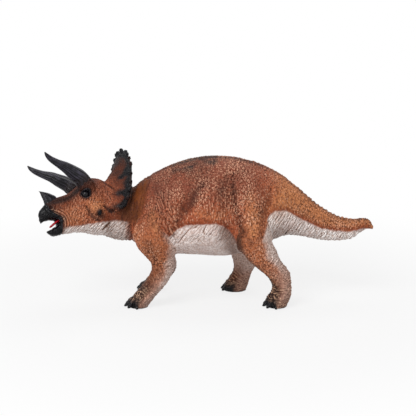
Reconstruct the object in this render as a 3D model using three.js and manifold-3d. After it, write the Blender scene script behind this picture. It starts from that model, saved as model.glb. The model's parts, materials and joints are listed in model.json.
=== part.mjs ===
import * as THREE from "three";
import Module from "manifold-3d";

// Painted vinyl figure of a walking horned dinosaur, in millimetres.
// It faces -X, its left side faces -Y, and its feet stand on the ground.

const wasm = await Module();
wasm.setup();

// Trunk
const torsoLength = 91.5;
const torsoDepth = 59.9;
const torsoWidth = 57;
const bellyHeight = 27.8;
const torsoWall = 2.8;

// Tail
const tailLength = 52.7;

// Head and neck
const skullLength = 46.5;
const skullDepth = 34;
const skullWidth = 25;
const neckLength = 31;
const headLift = 11.2;
const headSway = 6;
const cheekSpikeLength = 6.5;
const cheekSpikeWidth = 8.6;
const browBossWidth = 9.8;

// Head pose
const headYaw = THREE.MathUtils.degToRad(28);
const headRoll = THREE.MathUtils.degToRad(26);

// Horns
const browHornLength = 30;
const browHornWidth = 9.2;
const noseHornLength = 8;
const noseHornWidth = 8.4;
const noseHornThickness = 5;

// Neck shield
const frillWidth = 42.6;
const frillHeight = 39.8;
const frillReach = 20.7;
const frillThickness = 2.6;
const rimKnobWidth = 3.3;
const rimKnobReach = 3;
const rimKnobsPerSide = 10;

// Mouth
const jawLength = 8.4;
const jawWidth = 8.8;
const jawDepth = 7;
const tongueLength = 8.5;
const tongueWidth = 4.6;
const tongueThickness = 2.2;

// Eyes
const eyeWidth = 4.2;

// Legs
const foreLegDepth = 24.5;
const foreLegWidth = 20;
const hindLegDepth = 24;
const hindLegWidth = 22;
const footLength = 12.6;
const footWidth = 12;
const toeWidth = 5;
const clawLength = 3.4;

// Joints between pieces
const clearance = 0.3;
const neckPegWidth = 20;
const neckPegHeight = 20;
const neckPegLength = 9;
const tailPegWidth = 16;
const tailPegHeight = 18;
const tailPegLength = 8;
const legPegWidth = 9;
const legPegHeight = 8;
const legPegLength = 8;
const hornPegWidth = 3.6;
const hornPegLength = 3.4;
const frillPegWidth = 8;
const frillPegHeight = 2;
const frillPegLength = 6;
const locatingPinWidth = 3;
const locatingPinLength = 3;
const locatingBossWidth = 7;

// How far a cutting body runs past what it cuts.
const overrun = 2;

const bodySegments = 22;
const headSegments = 20;
const limbSegments = 15;
const hornSegments = 12;
const smallSegments = 6;

// Where the trunk starts and ends before the figure is centred.
const neckSeam = 0;
const tailSeam = torsoLength;

const alongX = new THREE.Vector3(1, 0, 0);
const alongY = new THREE.Vector3(0, 1, 0);
const alongZ = new THREE.Vector3(0, 0, 1);

// Rows of shares: [along, top, bottom, half width].
const torsoShares = [
  [0, 0.683, 0.159, 0.63],
  [0.072, 0.773, 0.09, 0.74],
  [0.177, 0.861, 0.04, 0.86],
  [0.308, 0.947, 0.023, 0.95],
  [0.466, 0.998, 0.008, 1],
  [0.597, 1, 0, 1],
  [0.702, 0.978, 0.032, 0.965],
  [0.826, 0.927, 0.098, 0.87],
  [0.938, 0.844, 0.181, 0.7],
  [1, 0.783, 0.214, 0.575],
];

const tailShares = [
  [0, 0.783, 0.214, 0.575],
  [0.028, 0.758, 0.208, 0.54],
  [0.165, 0.662, 0.195, 0.42],
  [0.302, 0.55, 0.168, 0.33],
  [0.438, 0.466, 0.145, 0.265],
  [0.575, 0.396, 0.14, 0.21],
  [0.712, 0.37, 0.15, 0.165],
  [0.78, 0.363, 0.172, 0.14],
  [0.848, 0.375, 0.215, 0.11],
  [0.917, 0.375, 0.262, 0.08],
  [0.973, 0.343, 0.25, 0.05],
  [1, 0.303, 0.28, 0.006],
];

const trunkWidestShare = 0.45;

// Rows of shares for the hollows and swells down the flank:
// [start along, start level, end along, end level, reach, height].
const flankShares = [
  [0.64, 0.86, 0.665, 0.6, 0.085, -0.018],
  [0.665, 0.6, 0.71, 0.26, 0.085, -0.022],
  [0.455, 0.8, 0.37, 0.64, 0.085, -0.016],
  [0.37, 0.64, 0.28, 0.34, 0.085, -0.02],
  [0.54, 0.68, 0.5, 0.32, 0.12, 0.016],
  [0.18, 0.74, 0.15, 0.42, 0.1, 0.016],
  [0.79, 0.74, 0.8, 0.42, 0.1, 0.014],
];

// Rows of shares along the skull: [along, top, bottom, half width, widest level].
const snoutShares = [
  [-0.618, -0.228, -0.24, 0.02, -0.235],
  [-0.609, -0.194, -0.396, 0.07, -0.26],
  [-0.587, -0.144, -0.37, 0.16, -0.25],
  [-0.559, -0.109, -0.344, 0.22, -0.24],
  [-0.525, -0.065, -0.338, 0.275, -0.23],
  [-0.473, -0.018, -0.335, 0.33, -0.22],
  [-0.415, 0.02, -0.347, 0.38, -0.23],
  [-0.35, 0.044, -0.379, 0.45, -0.25],
  [-0.258, 0.065, -0.41, 0.53, -0.28],
  [-0.108, 0.106, -0.44, 0.6, -0.28],
];

const cheekShares = [
  [-0.37, -0.03, -0.594, 0.38, -0.36],
  [-0.357, 0.025, -0.612, 0.43, -0.37],
  [-0.3, 0.055, -0.606, 0.5, -0.37],
  [-0.15, 0.1, -0.6, 0.64, -0.36],
  [-0.04, 0.195, -0.615, 0.78, -0.35],
  [0.06, 0.285, -0.66, 0.9, -0.35],
  [0.16, 0.325, -0.7, 0.95, -0.34],
  [0.26, 0.3, -0.71, 0.86, -0.32],
  [0.35, 0.23, -0.68, 0.7, -0.3],
  [0.42, 0.12, -0.6, 0.5, -0.28],
];

// Rows of shares for the brow horn: [forward, outward, upward, thickness].
const browHornShares = [
  [0, 0.02, 0, 1],
  [0.068, 0.045, 0.083, 0.95],
  [0.211, 0.08, 0.189, 0.83],
  [0.345, 0.115, 0.286, 0.66],
  [0.5, 0.16, 0.369, 0.48],
  [0.637, 0.195, 0.457, 0.36],
  [0.712, 0.222, 0.531, 0.25],
  [0.752, 0.24, 0.593, 0.08],
];

// Rows of shares for the nose horn: [forward, upward, length, thickness].
const noseHornShares = [
  [0, 0, 1, 1],
  [0.03, 0.225, 1, 0.95],
  [0.088, 0.425, 0.98, 0.85],
  [0.238, 0.6, 0.79, 0.68],
  [0.394, 0.75, 0.56, 0.5],
  [0.588, 0.875, 0.26, 0.3],
  [0.763, 0.963, 0.05, 0.06],
];

// Rows of shares for half of the neck shield, from the crown down to the lobe:
// [rim side, rim back, rim up, root side, root back, root up].
const frillShares = [
  [0, 1, 1, 0, 0.323, 0.176],
  [0.19, 1.005, 0.985, 0.24, 0.323, 0.176],
  [0.385, 1.005, 0.93, 0.44, 0.323, 0.147],
  [0.575, 0.965, 0.83, 0.62, 0.312, 0.088],
  [0.765, 0.88, 0.68, 0.74, 0.301, 0],
  [0.92, 0.74, 0.442, 0.83, 0.27, -0.088],
  [1, 0.57, 0.255, 0.88, 0.24, -0.176],
  [0.985, 0.42, 0.105, 0.9, 0.21, -0.24],
  [0.925, 0.28, 0.045, 0.9, 0.2, -0.28],
  [0.83, 0.15, 0.085, 0.88, 0.19, -0.3],
];
const frillRootShare = 0.215;
const frillFootShare = -0.406;
const frillDishShare = 0.05;
const frillPegSetbackShare = 1;
const frillRootThicknessShare = 1.25;
const frillRimThicknessShare = 0.75;

// Rows of shares for the lower beak: [along, top, bottom, half width].
const jawShares = [
  [0, 0.514, 0.457, 0.07],
  [0.12, 0.557, 0.27, 0.33],
  [0.29, 0.614, 0.13, 0.56],
  [0.52, 0.714, 0.03, 0.77],
  [0.75, 0.843, 0, 0.91],
  [1, 1, 0.06, 1],
];
const jawFootShare = -0.626;
const cheekFrontShare = -0.37;

// Rows of shares for the tongue: [forward, upward, width].
const tongueShares = [
  [0, 0, 0.5],
  [0.22, 0.02, 0.85],
  [0.46, -0.07, 1],
  [0.68, -0.2, 0.92],
  [0.85, -0.3, 0.62],
  [0.92, -0.33, 0.18],
];
const tongueRootBackShare = -0.325;
const tongueRootLevelShare = -0.372;

// Where the horns, eyes and cheek spikes sit on the skull: [along, side, level].
const browHornSeatShares = [-0.011, 0.68, 0.244];
const noseHornSeatShares = [-0.409, 0, -0.03];
const eyeSeatShares = [0, 0.66, 0];
const cheekSpikeSeatShares = [0.085, 0.74, -0.3];
const cheekSpikeLeanShares = [0.1, 0.82, -0.56];

// Rows of shares for the fore legs:
// [level, left centre, right centre, depth, out, width].
const foreLegShares = [
  [0, 0.0385, 0.103, 0.5, 0.585, 0.66],
  [0.034, 0.036, 0.11, 0.54, 0.585, 0.68],
  [0.088, 0.068, 0.136, 0.575, 0.59, 0.66],
  [0.144, 0.103, 0.172, 0.56, 0.595, 0.6],
  [0.199, 0.137, 0.2, 0.565, 0.6, 0.6],
  [0.253, 0.165, 0.206, 0.555, 0.605, 0.62],
  [0.307, 0.183, 0.2, 0.54, 0.61, 0.66],
  [0.362, 0.198, 0.188, 0.55, 0.615, 0.7],
  [0.416, 0.194, 0.183, 0.56, 0.62, 0.76],
  [0.47, 0.181, 0.172, 0.705, 0.62, 0.84],
  [0.525, 0.163, 0.158, 0.857, 0.62, 0.92],
  [0.58, 0.149, 0.149, 0.959, 0.615, 0.98],
  [0.635, 0.14, 0.14, 0.971, 0.605, 1],
  [0.726, 0.14, 0.14, 0.931, 0.575, 1],
  [0.816, 0.139, 0.139, 0.796, 0.54, 0.93],
  [0.912, 0.142, 0.142, 0.571, 0.49, 0.78],
  [1, 0.148, 0.148, 0.245, 0.44, 0.4],
];

// Rows of shares for the hind legs:
// [level, left centre, right centre, left depth, right depth, out, width].
const hindLegShares = [
  [0, 0.94, 0.672, 0.5, 0.6, 0.585, 0.58],
  [0.03, 0.9375, 0.67, 0.57, 0.64, 0.585, 0.61],
  [0.077, 0.9495, 0.689, 0.62, 0.6, 0.59, 0.59],
  [0.126, 0.9715, 0.711, 0.51, 0.51, 0.595, 0.55],
  [0.173, 0.968, 0.728, 0.485, 0.51, 0.605, 0.55],
  [0.22, 0.961, 0.741, 0.535, 0.6, 0.615, 0.57],
  [0.268, 0.942, 0.746, 0.655, 0.73, 0.625, 0.61],
  [0.315, 0.906, 0.75, 0.725, 0.84, 0.635, 0.66],
  [0.363, 0.867, 0.753, 0.775, 0.89, 0.645, 0.72],
  [0.41, 0.839, 0.756, 0.8375, 0.91, 0.65, 0.78],
  [0.458, 0.818, 0.757, 0.9, 0.92, 0.655, 0.84],
  [0.505, 0.795, 0.76, 0.8875, 0.91, 0.66, 0.89],
  [0.554, 0.779, 0.764, 0.89, 0.9, 0.66, 0.94],
  [0.633, 0.773, 0.768, 0.896, 0.9, 0.65, 0.99],
  [0.711, 0.765, 0.765, 0.875, 0.875, 0.625, 1],
  [0.831, 0.765, 0.765, 0.79, 0.79, 0.57, 0.97],
  [0.949, 0.77, 0.77, 0.583, 0.583, 0.45, 0.8],
  [1, 0.77, 0.77, 0.333, 0.333, 0.4, 0.45],
];
const shoulderShare = 0.645;
const hipShare = 0.81;
const footSetbackShare = 0.1;
const toeTurns = [-24, 10, 44, 84].map(THREE.MathUtils.degToRad);

// Rows of shares for a toe: [outward, level, thickness].
const toeShares = [
  [-0.9, 0.62, 0.7],
  [-0.2, 0.6, 1],
  [0.25, 0.5, 0.9],
  [0.55, 0.4, 0.66],
  [1, 0.16, 0.16],
];

// Reads a table of rows at evenly spaced steps along a smooth curve through them.
function smoothRows(rows, steps) {
  const read = [];
  for (let i = 0; i <= steps; i++) {
    const place = ((rows.length - 1) * i) / steps;
    const at = Math.min(Math.floor(place), rows.length - 2);
    const part = place - at;
    read.push(rows[at].map((_, column) => curveValue(rows, at, part, column)));
  }
  return read;
}

function curveValue(rows, at, part, column) {
  const value = (row) => rows[THREE.MathUtils.clamp(row, 0, rows.length - 1)][column];
  const here = value(at);
  const next = value(at + 1);
  const leave = (next - value(at - 1)) / 2;
  const arrive = (value(at + 2) - here) / 2;
  const square = part * part;
  const cube = square * part;
  const fromHere = here * (2 * cube - 3 * square + 1) + leave * (cube - 2 * square + part);
  return fromHere + next * (3 * square - 2 * cube) + arrive * (cube - square);
}

// A rounded outline, with its own height above and below the widest line.
function oval(half, up, down, segments, fullness = 1) {
  const outline = [];
  for (let i = 0; i < segments; i++) {
    const turn = (2 * Math.PI * i) / segments;
    const across = fuller(Math.cos(turn), fullness);
    const lift = fuller(Math.sin(turn), fullness);
    outline.push([half * across, (lift > 0 ? up : down) * lift]);
  }
  return outline;
}

function fuller(value, fullness) {
  return Math.sign(value) * Math.abs(value) ** fullness;
}

// Stands an outline up in space on two directions.
function placed(outline, centre, side, rise) {
  return outline.map(([across, lift]) =>
    centre.clone().addScaledVector(side, across).addScaledVector(rise, lift),
  );
}

function middle(points) {
  const sum = new THREE.Vector3();
  points.forEach((point) => sum.add(point));
  return sum.divideScalar(points.length);
}

// Skins a row of rings into one closed body.
function loft(rings) {
  const count = rings[0].length;
  const points = rings.flat();
  const faces = [];
  for (let ring = 0; ring < rings.length - 1; ring++) {
    for (let i = 0; i < count; i++) {
      const a = ring * count + i;
      const b = ring * count + ((i + 1) % count);
      faces.push([a, b, b + count], [a, b + count, a + count]);
    }
  }
  const first = points.push(middle(rings[0])) - 1;
  const last = points.push(middle(rings.at(-1))) - 1;
  const start = (rings.length - 1) * count;
  for (let i = 0; i < count; i++) {
    const next = (i + 1) % count;
    faces.push([first, next, i], [last, start + i, start + next]);
  }
  return solid(points, faces);
}

function solid(points, faces) {
  const volume = faces.reduce((sum, [a, b, c]) => {
    const cross = points[b].clone().cross(points[c]);
    return sum + points[a].dot(cross);
  }, 0);
  const outward = volume < 0 ? faces.map(([a, b, c]) => [a, c, b]) : faces;
  const mesh = new wasm.Mesh({
    numProp: 3,
    vertProperties: new Float32Array(points.flatMap((point) => point.toArray())),
    triVerts: new Uint32Array(outward.flat()),
  });
  mesh.merge();
  return new wasm.Manifold(mesh);
}

// Keeps the main body where a cut leaves crumbs behind.
function mainBody(body) {
  const bodies = body.decompose();
  return bodies.reduce((best, next) => (next.volume() > best.volume() ? next : best));
}

// A body swept along a line of points; each point carries its own two radii.
function sweep(points, radii, segments, side = alongY) {
  const rings = points.map((point, i) => {
    const ahead = points[Math.min(i + 1, points.length - 1)];
    const behind = points[Math.max(i - 1, 0)];
    const way = ahead.clone().sub(behind).normalize();
    const rise = way.clone().cross(side).normalize();
    const across = rise.clone().cross(way);
    const [half, lift] = radii[i];
    return placed(oval(half, lift, lift, segments), point, across, rise);
  });
  return loft(rings);
}

// A straight bar with one corner cut away, so that it fits only one way round.
function keyedBar(start, end, width, height, side = alongY) {
  const way = end.clone().sub(start).normalize();
  const rise = way.clone().cross(side).normalize();
  const across = rise.clone().cross(way);
  const half = width / 2;
  const lift = height / 2;
  const key = Math.min(half, lift) / 2;
  const outline = [
    [-half, -lift],
    [half, -lift],
    [half, lift - key],
    [half - key, lift],
    [-half, lift],
  ];
  return loft([start, end].map((point) => placed(outline, point, across, rise)));
}

// A slab that covers one side of the plane through a point.
function halfSpace(point, normal, reach) {
  const side = Math.abs(normal.z) > 0.5 ? alongX : alongZ;
  const across = normal.clone().cross(side).normalize();
  const rise = across.clone().cross(normal);
  const square = [
    [-reach, -reach],
    [reach, -reach],
    [reach, reach],
    [-reach, reach],
  ];
  const far = point.clone().addScaledVector(normal, reach);
  return loft([point, far].map((centre) => placed(square, centre, across, rise)));
}

const wholeReach = 2 * (torsoLength + tailLength + skullLength + torsoWidth + bellyHeight + torsoDepth);

function level(share) {
  return bellyHeight + share * torsoDepth;
}

function trunkRing(x, top, bottom, width, grow) {
  const widest = bottom + (top - bottom) * trunkWidestShare;
  const half = Math.max((width * torsoWidth) / 2 + grow, 0.02 * torsoWidth * width);
  const up = (top - widest) * torsoDepth + grow;
  const down = (widest - bottom) * torsoDepth + grow;
  const outline = oval(half, up, down, bodySegments, 0.94);
  return placed(outline, new THREE.Vector3(x, 0, level(widest)), alongY, alongZ);
}

function torsoForm(grow, steps) {
  const rows = smoothRows(torsoShares, steps);
  const rings = rows.map(([along, top, bottom, width], i) => {
    const end = i === 0 ? -grow : i === steps ? grow : 0;
    const x = neckSeam + along * (tailSeam - neckSeam) + end;
    const half = (width * torsoWidth) / 2;
    return trunkRing(x, top, bottom, width, grow).map((point) => muscled(point, along, half));
  });
  return loft(rings);
}

// Moves a point of the flank in or out by the muscle forms near it.
function muscled(point, along, half) {
  const facing = point.y / half;
  const height = flankShares.reduce((sum, row) => sum + flankHeight(row, point, along), 0);
  return point.setY(point.y + facing * height);
}

function flankHeight([startAlong, startLevel, endAlong, endLevel, reach, height], point, along) {
  const start = new THREE.Vector2(startAlong * torsoLength, level(startLevel));
  const end = new THREE.Vector2(endAlong * torsoLength, level(endLevel));
  const way = end.clone().sub(start);
  const place = new THREE.Vector2(along * torsoLength, point.z);
  const share = THREE.MathUtils.clamp(place.clone().sub(start).dot(way) / way.lengthSq(), 0, 1);
  const gap = start.addScaledVector(way, share).distanceTo(place);
  return height * torsoDepth * Math.exp(-((gap / (reach * torsoDepth)) ** 2));
}

function tailForm(grow) {
  const rings = smoothRows(tailShares, 17).map(([along, top, bottom, width], i) => {
    const start = i === 0 ? clearance - grow : 0;
    return trunkRing(tailSeam + start + along * tailLength, top, bottom, width, grow);
  });
  return loft(rings);
}

// Half width, rise and fall of the neck inside the skull, and how far the throat sags.
const neckStartShares = [0.28, 0.34, 0.42];
const throatSagShare = 0.14;

// The head is modelled about a point between the eyes, then turned into its pose.
const headTurn = new THREE.Quaternion()
  .setFromAxisAngle(alongZ, headYaw)
  .multiply(new THREE.Quaternion().setFromAxisAngle(alongX, -headRoll));
const headOrigin = new THREE.Vector3(neckSeam - neckLength, -headSway, level(0.42) + headLift);
const headMatrix = new THREE.Matrix4().compose(headOrigin, headTurn, new THREE.Vector3(1, 1, 1));

function inHeadPose(body) {
  return body.transform(headMatrix.elements);
}

function skullPoint([along, side, rise], hand = 1) {
  const halfWidth = (hand * skullWidth) / 2;
  return new THREE.Vector3(along * skullLength, side * halfWidth, rise * skullDepth);
}

function skullLoft(table, steps, grow) {
  const rings = smoothRows(table, steps).map(([along, top, bottom, width, widest], i) => {
    const end = i === 0 ? -grow : i === steps ? grow : 0;
    const centre = new THREE.Vector3(along * skullLength + end, 0, widest * skullDepth);
    const half = (width * skullWidth) / 2 + grow;
    const up = (top - widest) * skullDepth + grow;
    const down = (widest - bottom) * skullDepth + grow;
    return placed(oval(half, up, down, headSegments, 0.82), centre, alongY, alongZ);
  });
  return loft(rings);
}

function neckForm(grow) {
  const level0 = skullPoint([0.06, 0, -0.22]).applyMatrix4(headMatrix);
  const [, top, bottom, width] = torsoShares[0];
  const widest = bottom + (top - bottom) * trunkWidestShare;
  const seam = new THREE.Vector3(neckSeam - clearance + grow, 0, level(widest));
  const lead = neckLength / 2.6;
  const back = alongX.clone().applyQuaternion(headTurn);
  const line = new THREE.CubicBezierCurve3(
    level0,
    level0.clone().addScaledVector(back, lead),
    seam.clone().addScaledVector(alongX, -lead),
    seam,
  );
  const straight = new THREE.Quaternion();
  const startSizes = neckStartShares.map((share) => share * skullDepth);
  const endSizes = [
    (width * torsoWidth) / 2,
    (top - widest) * torsoDepth,
    (widest - bottom) * torsoDepth,
  ];
  const rings = [];
  const steps = 7;
  for (let i = 0; i <= steps; i++) {
    const part = i / steps;
    const turn = headTurn.clone().slerp(straight, part);
    const sizes = startSizes.map((size, k) => THREE.MathUtils.lerp(size, endSizes[k], part));
    const sag = 1 + throatSagShare * Math.sin(Math.PI * part);
    const [half, up, down] = [sizes[0], sizes[1], sizes[2] * sag].map((size) => size + grow);
    const outline = oval(half, up, down, headSegments, 0.94);
    const side = alongY.clone().applyQuaternion(turn);
    const rise = alongZ.clone().applyQuaternion(turn);
    rings.push(placed(outline, line.getPoint(part), side, rise));
  }
  return loft(rings);
}

function browHornPoints(hand) {
  const seat = skullPoint(browHornSeatShares, hand);
  return smoothRows(browHornShares, 12).map(([forward, out, up]) => {
    const away = new THREE.Vector3(-forward, hand * out, up);
    return seat.clone().addScaledVector(away, browHornLength);
  });
}

function browHorn(hand) {
  const points = browHornPoints(hand);
  const radii = smoothRows(browHornShares, 12).map(([, , , thick]) => {
    const half = (thick * browHornWidth) / 2;
    return [half, half];
  });
  const start = points[0];
  const way = points[1].clone().sub(start).normalize();
  const peg = keyedBar(
    start.clone().addScaledVector(way, -hornPegLength),
    start.clone().addScaledVector(way, hornPegLength),
    hornPegWidth,
    hornPegWidth,
  );
  return sweep(points, radii, hornSegments).add(peg);
}

function browHornPegHole(hand) {
  const [start, next] = browHornPoints(hand);
  const way = next.clone().sub(start).normalize();
  const width = hornPegWidth + 2 * clearance;
  return keyedBar(
    start.clone().addScaledVector(way, -hornPegLength - clearance),
    start.clone().addScaledVector(way, hornPegLength),
    width,
    width,
  );
}

function browBoss(hand, grow) {
  const [start, next] = browHornPoints(hand);
  const way = next.clone().sub(start).normalize();
  const wide = browBossWidth / 2 + grow;
  const lip = browHornWidth / 2 + grow;
  const points = [-1, -0.7, -0.35, 0].map((share) =>
    start.clone().addScaledVector(way, share * browBossWidth - clearance + grow),
  );
  const radii = [0.5 * wide, 0.86 * wide, wide, lip].map((radius) => [radius, radius]);
  return sweep(points, radii, hornSegments);
}

function noseHornForm() {
  const seat = skullPoint(noseHornSeatShares);
  const rows = smoothRows(noseHornShares, 7);
  const rings = rows.map(([forward, up, long, thick]) => {
    const centre = seat
      .clone()
      .addScaledVector(alongX, -forward * noseHornLength)
      .addScaledVector(alongZ, up * noseHornLength);
    const outline = oval(
      (long * noseHornWidth) / 2,
      (thick * noseHornThickness) / 2,
      (thick * noseHornThickness) / 2,
      hornSegments,
    );
    return placed(outline, centre, alongX, alongY);
  });
  return loft(rings);
}

function noseHornPeg(grow) {
  const seat = skullPoint(noseHornSeatShares);
  const width = hornPegWidth * 0.8 + 2 * grow;
  return keyedBar(
    seat.clone().addScaledVector(alongZ, -hornPegLength - grow),
    seat.clone().addScaledVector(alongZ, noseHornLength * 0.25),
    width,
    width,
  );
}

function cheekSpike(hand) {
  const seat = skullPoint(cheekSpikeSeatShares, hand);
  const way = new THREE.Vector3(
    cheekSpikeLeanShares[0],
    hand * cheekSpikeLeanShares[1],
    cheekSpikeLeanShares[2],
  ).normalize();
  const points = [-0.5, 0.1, 0.5, 0.8, 1].map((share) =>
    seat.clone().addScaledVector(way, share * cheekSpikeLength),
  );
  const radii = [1, 0.84, 0.52, 0.32, 0.14].map((share) => {
    const half = (share * cheekSpikeWidth) / 2;
    return [half, half];
  });
  return sweep(points, radii, hornSegments, alongX);
}

// The two front faces of the shield are a smooth sheet from the skull to the rim.
const frillSteps = 14;
const frillRows = 5;

function frillPoint(row, hand) {
  const [rimSide, rimBack, rimUp, rootSide, rootBack, rootUp] = row;
  const rim = new THREE.Vector3(
    frillRootShare * skullLength + rimBack * frillReach,
    (hand * rimSide * frillWidth) / 2,
    frillFootShare * skullDepth + rimUp * frillHeight,
  );
  const root = skullPoint([rootBack, rootSide, rootUp], hand);
  return { rim, root };
}

function frillColumns() {
  const half = smoothRows(frillShares, frillSteps);
  const left = half.slice(1).reverse().map((row) => frillPoint(row, -1));
  return left.concat(half.map((row) => frillPoint(row, 1)));
}

function frillSheet() {
  return frillColumns().map(({ rim, root }) => {
    const column = [];
    for (let j = 0; j <= frillRows; j++) {
      const part = j / frillRows;
      const point = root.clone().lerp(rim, part);
      const dish = 4 * part * (1 - part) * frillDishShare * frillHeight;
      point.x += dish;
      point.z -= dish / 2;
      column.push(point);
    }
    return column;
  });
}

function sheetNormal(sheet, i, j) {
  const left = sheet[Math.max(i - 1, 0)][j];
  const right = sheet[Math.min(i + 1, sheet.length - 1)][j];
  const below = sheet[i][Math.max(j - 1, 0)];
  const above = sheet[i][Math.min(j + 1, sheet[i].length - 1)];
  const across = right.clone().sub(left);
  const rise = above.clone().sub(below);
  return across.cross(rise).normalize();
}

function frillForm() {
  const front = frillSheet();
  const rings = front.map((column, i) => {
    const back = column.map((point, j) => {
      const part = j / frillRows;
      const share = THREE.MathUtils.lerp(frillRootThicknessShare, frillRimThicknessShare, part);
      const thick = share * frillThickness;
      return point.clone().addScaledVector(sheetNormal(front, i, j), thick);
    });
    const rim = column[frillRows];
    const out = rim.clone().sub(column[frillRows - 1]).normalize();
    const edge = rim.clone().add(back[frillRows]).divideScalar(2);
    edge.addScaledVector(out, frillThickness / 3);
    return [...column, edge, ...back.reverse()];
  });
  return loft(rings);
}

function rimKnobs() {
  const columns = frillSheet();
  const centre = (columns.length - 1) / 2;
  const knobs = [];
  for (const hand of [-1, 1]) {
    for (let k = 0; k < rimKnobsPerSide; k++) {
      const share = (k + 0.5) / (rimKnobsPerSide + 0.4);
      knobs.push(rimKnob(columns, centre + hand * share * centre));
    }
  }
  return knobs;
}

function rimKnob(columns, place) {
  const at = Math.min(Math.floor(place), columns.length - 2);
  const mix = (j) => columns[at][j].clone().lerp(columns[at + 1][j], place - at);
  const rim = mix(frillRows);
  const out = rim.clone().sub(mix(frillRows - 1)).normalize();
  const back = sheetNormal(columns, Math.round(place), frillRows);
  const along = back.clone().cross(out).normalize();
  rim.addScaledVector(back, frillThickness / 2);
  const points = [-0.5, 0.08, 0.42].map((share) => {
    return rim.clone().addScaledVector(out, share * rimKnobReach);
  });
  const radii = [1, 0.95, 0.35].map((share) => [
    (share * rimKnobWidth) / 2,
    (share * frillThickness) / 2,
  ]);
  return sweep(points, radii, smallSegments, along);
}

function frillPeg(grow) {
  const { rim, root } = frillPoint(frillShares[0], 1);
  const way = rim.clone().sub(root).normalize();
  const back = way.clone().cross(alongY).negate();
  const seat = root.clone().addScaledVector(back, frillPegSetbackShare * frillThickness);
  return keyedBar(
    seat.clone().addScaledVector(way, -frillPegLength - grow),
    seat.clone().addScaledVector(way, frillPegLength),
    frillPegWidth + 2 * grow,
    frillPegHeight + 2 * grow,
  );
}

function jawForm(grow) {
  const front = cheekFrontShare * skullLength - jawLength;
  const rings = smoothRows(jawShares, 10).map(([along, top, bottom, width], i) => {
    const end = i === 10 ? -clearance : 0;
    const centre = (top + bottom) / 2;
    const half = (width * jawWidth) / 2 + grow;
    const lift = ((top - bottom) * jawDepth) / 2 + grow;
    const x = front + along * jawLength + end;
    const place = new THREE.Vector3(x, 0, jawFootShare * skullDepth + centre * jawDepth);
    return placed(oval(half, lift, lift, limbSegments, 0.85), place, alongY, alongZ);
  });
  return loft(rings);
}

function jawPeg(grow) {
  const x = cheekFrontShare * skullLength;
  const z = jawFootShare * skullDepth + jawDepth * 0.5;
  const length = jawLength * 0.4 + grow;
  return keyedBar(
    new THREE.Vector3(x - jawLength * 0.3, 0, z),
    new THREE.Vector3(x + length, 0, z),
    jawWidth * 0.42 + 2 * grow,
    jawDepth * 0.36 + 2 * grow,
  );
}

function tongueForm(grow) {
  const root = skullPoint([tongueRootBackShare, 0, tongueRootLevelShare]);
  const rows = smoothRows(tongueShares, 9);
  const points = rows.map(([forward, up]) =>
    root
      .clone()
      .addScaledVector(alongX, -forward * tongueLength)
      .addScaledVector(alongZ, up * tongueLength),
  );
  if (grow > 0) points[0].x += grow;
  const radii = rows.map(([, , width]) => [
    (width * tongueWidth) / 2 + grow,
    (Math.sqrt(width) * tongueThickness) / 2 + grow,
  ]);
  return sweep(points, radii, limbSegments);
}

function eyeBead(hand, grow) {
  const centre = skullPoint(eyeSeatShares, hand);
  const radius = eyeWidth / 2 + grow;
  const steps = 6;
  const rings = [];
  for (let i = 0; i <= steps; i++) {
    const turn = (Math.PI * (i + 0.12)) / (steps + 0.24);
    const place = centre.clone().addScaledVector(alongY, -Math.cos(turn) * radius);
    const half = Math.sin(turn) * radius;
    rings.push(placed(oval(half, half, half, hornSegments), place, alongX, alongZ));
  }
  return loft(rings);
}

function legForm(rows, side, top) {
  const hand = side === "left" ? -1 : 1;
  const rings = smoothRows(rows, 19).map(([rise, centre, depth, out, width]) => {
    const place = new THREE.Vector3(
      neckSeam + centre * torsoLength,
      (hand * out * torsoWidth) / 2,
      rise * top,
    );
    return placed(oval(depth / 2, width / 2, width / 2, limbSegments, 0.9), place, alongX, alongY);
  });
  return loft(rings);
}

function toe(sole, turn, hand) {
  const way = new THREE.Vector3(-Math.cos(turn), hand * Math.sin(turn), 0);
  const across = new THREE.Vector3(-way.y, way.x, 0);
  const start = sole
    .clone()
    .add(new THREE.Vector3((-Math.cos(turn) * footLength) / 2, (hand * Math.sin(turn) * footWidth) / 2, 0));
  const points = toeShares.map(([out, rise]) => {
    const point = start.clone().addScaledVector(way, out * clawLength);
    return point.addScaledVector(alongZ, rise * toeWidth);
  });
  const radii = toeShares.map(([, , thick]) => {
    const half = (thick * toeWidth) / 2;
    return [half, half];
  });
  return sweep(points, radii, smallSegments, across);
}

// The joint peg runs straight across, from inside the leg to inside the trunk.
function legPeg(rows, side, top, grow) {
  const hand = side === "left" ? -1 : 1;
  const wall = legPegWall(rows, side, top);
  const inner = wall.clone().addScaledVector(alongY, -hand * (legPegLength + grow));
  const outer = wall.clone().addScaledVector(alongY, (hand * legPegLength) / 3);
  return keyedBar(outer, inner, legPegWidth + 2 * grow, legPegHeight + 2 * grow, alongX);
}

function legPegWall(rows, side, top) {
  const hand = side === "left" ? -1 : 1;
  const [rise, centre, , out, width] = rows[Math.floor(rows.length * 0.78)];
  const x = neckSeam + centre * torsoLength;
  const skin = (out * torsoWidth) / 2 + width / 2 - legPegLength * 0.6;
  return new THREE.Vector3(x, hand * skin, rise * top);
}

function leg(rows, side, top, bodyForms) {
  const hand = side === "left" ? -1 : 1;
  const [, centre, , out] = rows[0];
  const sole = new THREE.Vector3(
    neckSeam + centre * torsoLength + footSetbackShare * footLength,
    (hand * out * torsoWidth) / 2,
    0,
  );
  let body = legForm(rows, side, top);
  for (const turn of toeTurns) body = body.add(toe(sole, turn, hand));
  const ground = new THREE.Vector3(0, 0, 0);
  body = body.subtract(halfSpace(ground, alongZ.clone().negate(), wholeReach));
  for (const form of bodyForms) body = body.subtract(form);
  return mainBody(body).add(legPeg(rows, side, top, 0));
}

const foreTop = level(shoulderShare);
const hindTop = level(hipShare);

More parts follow.
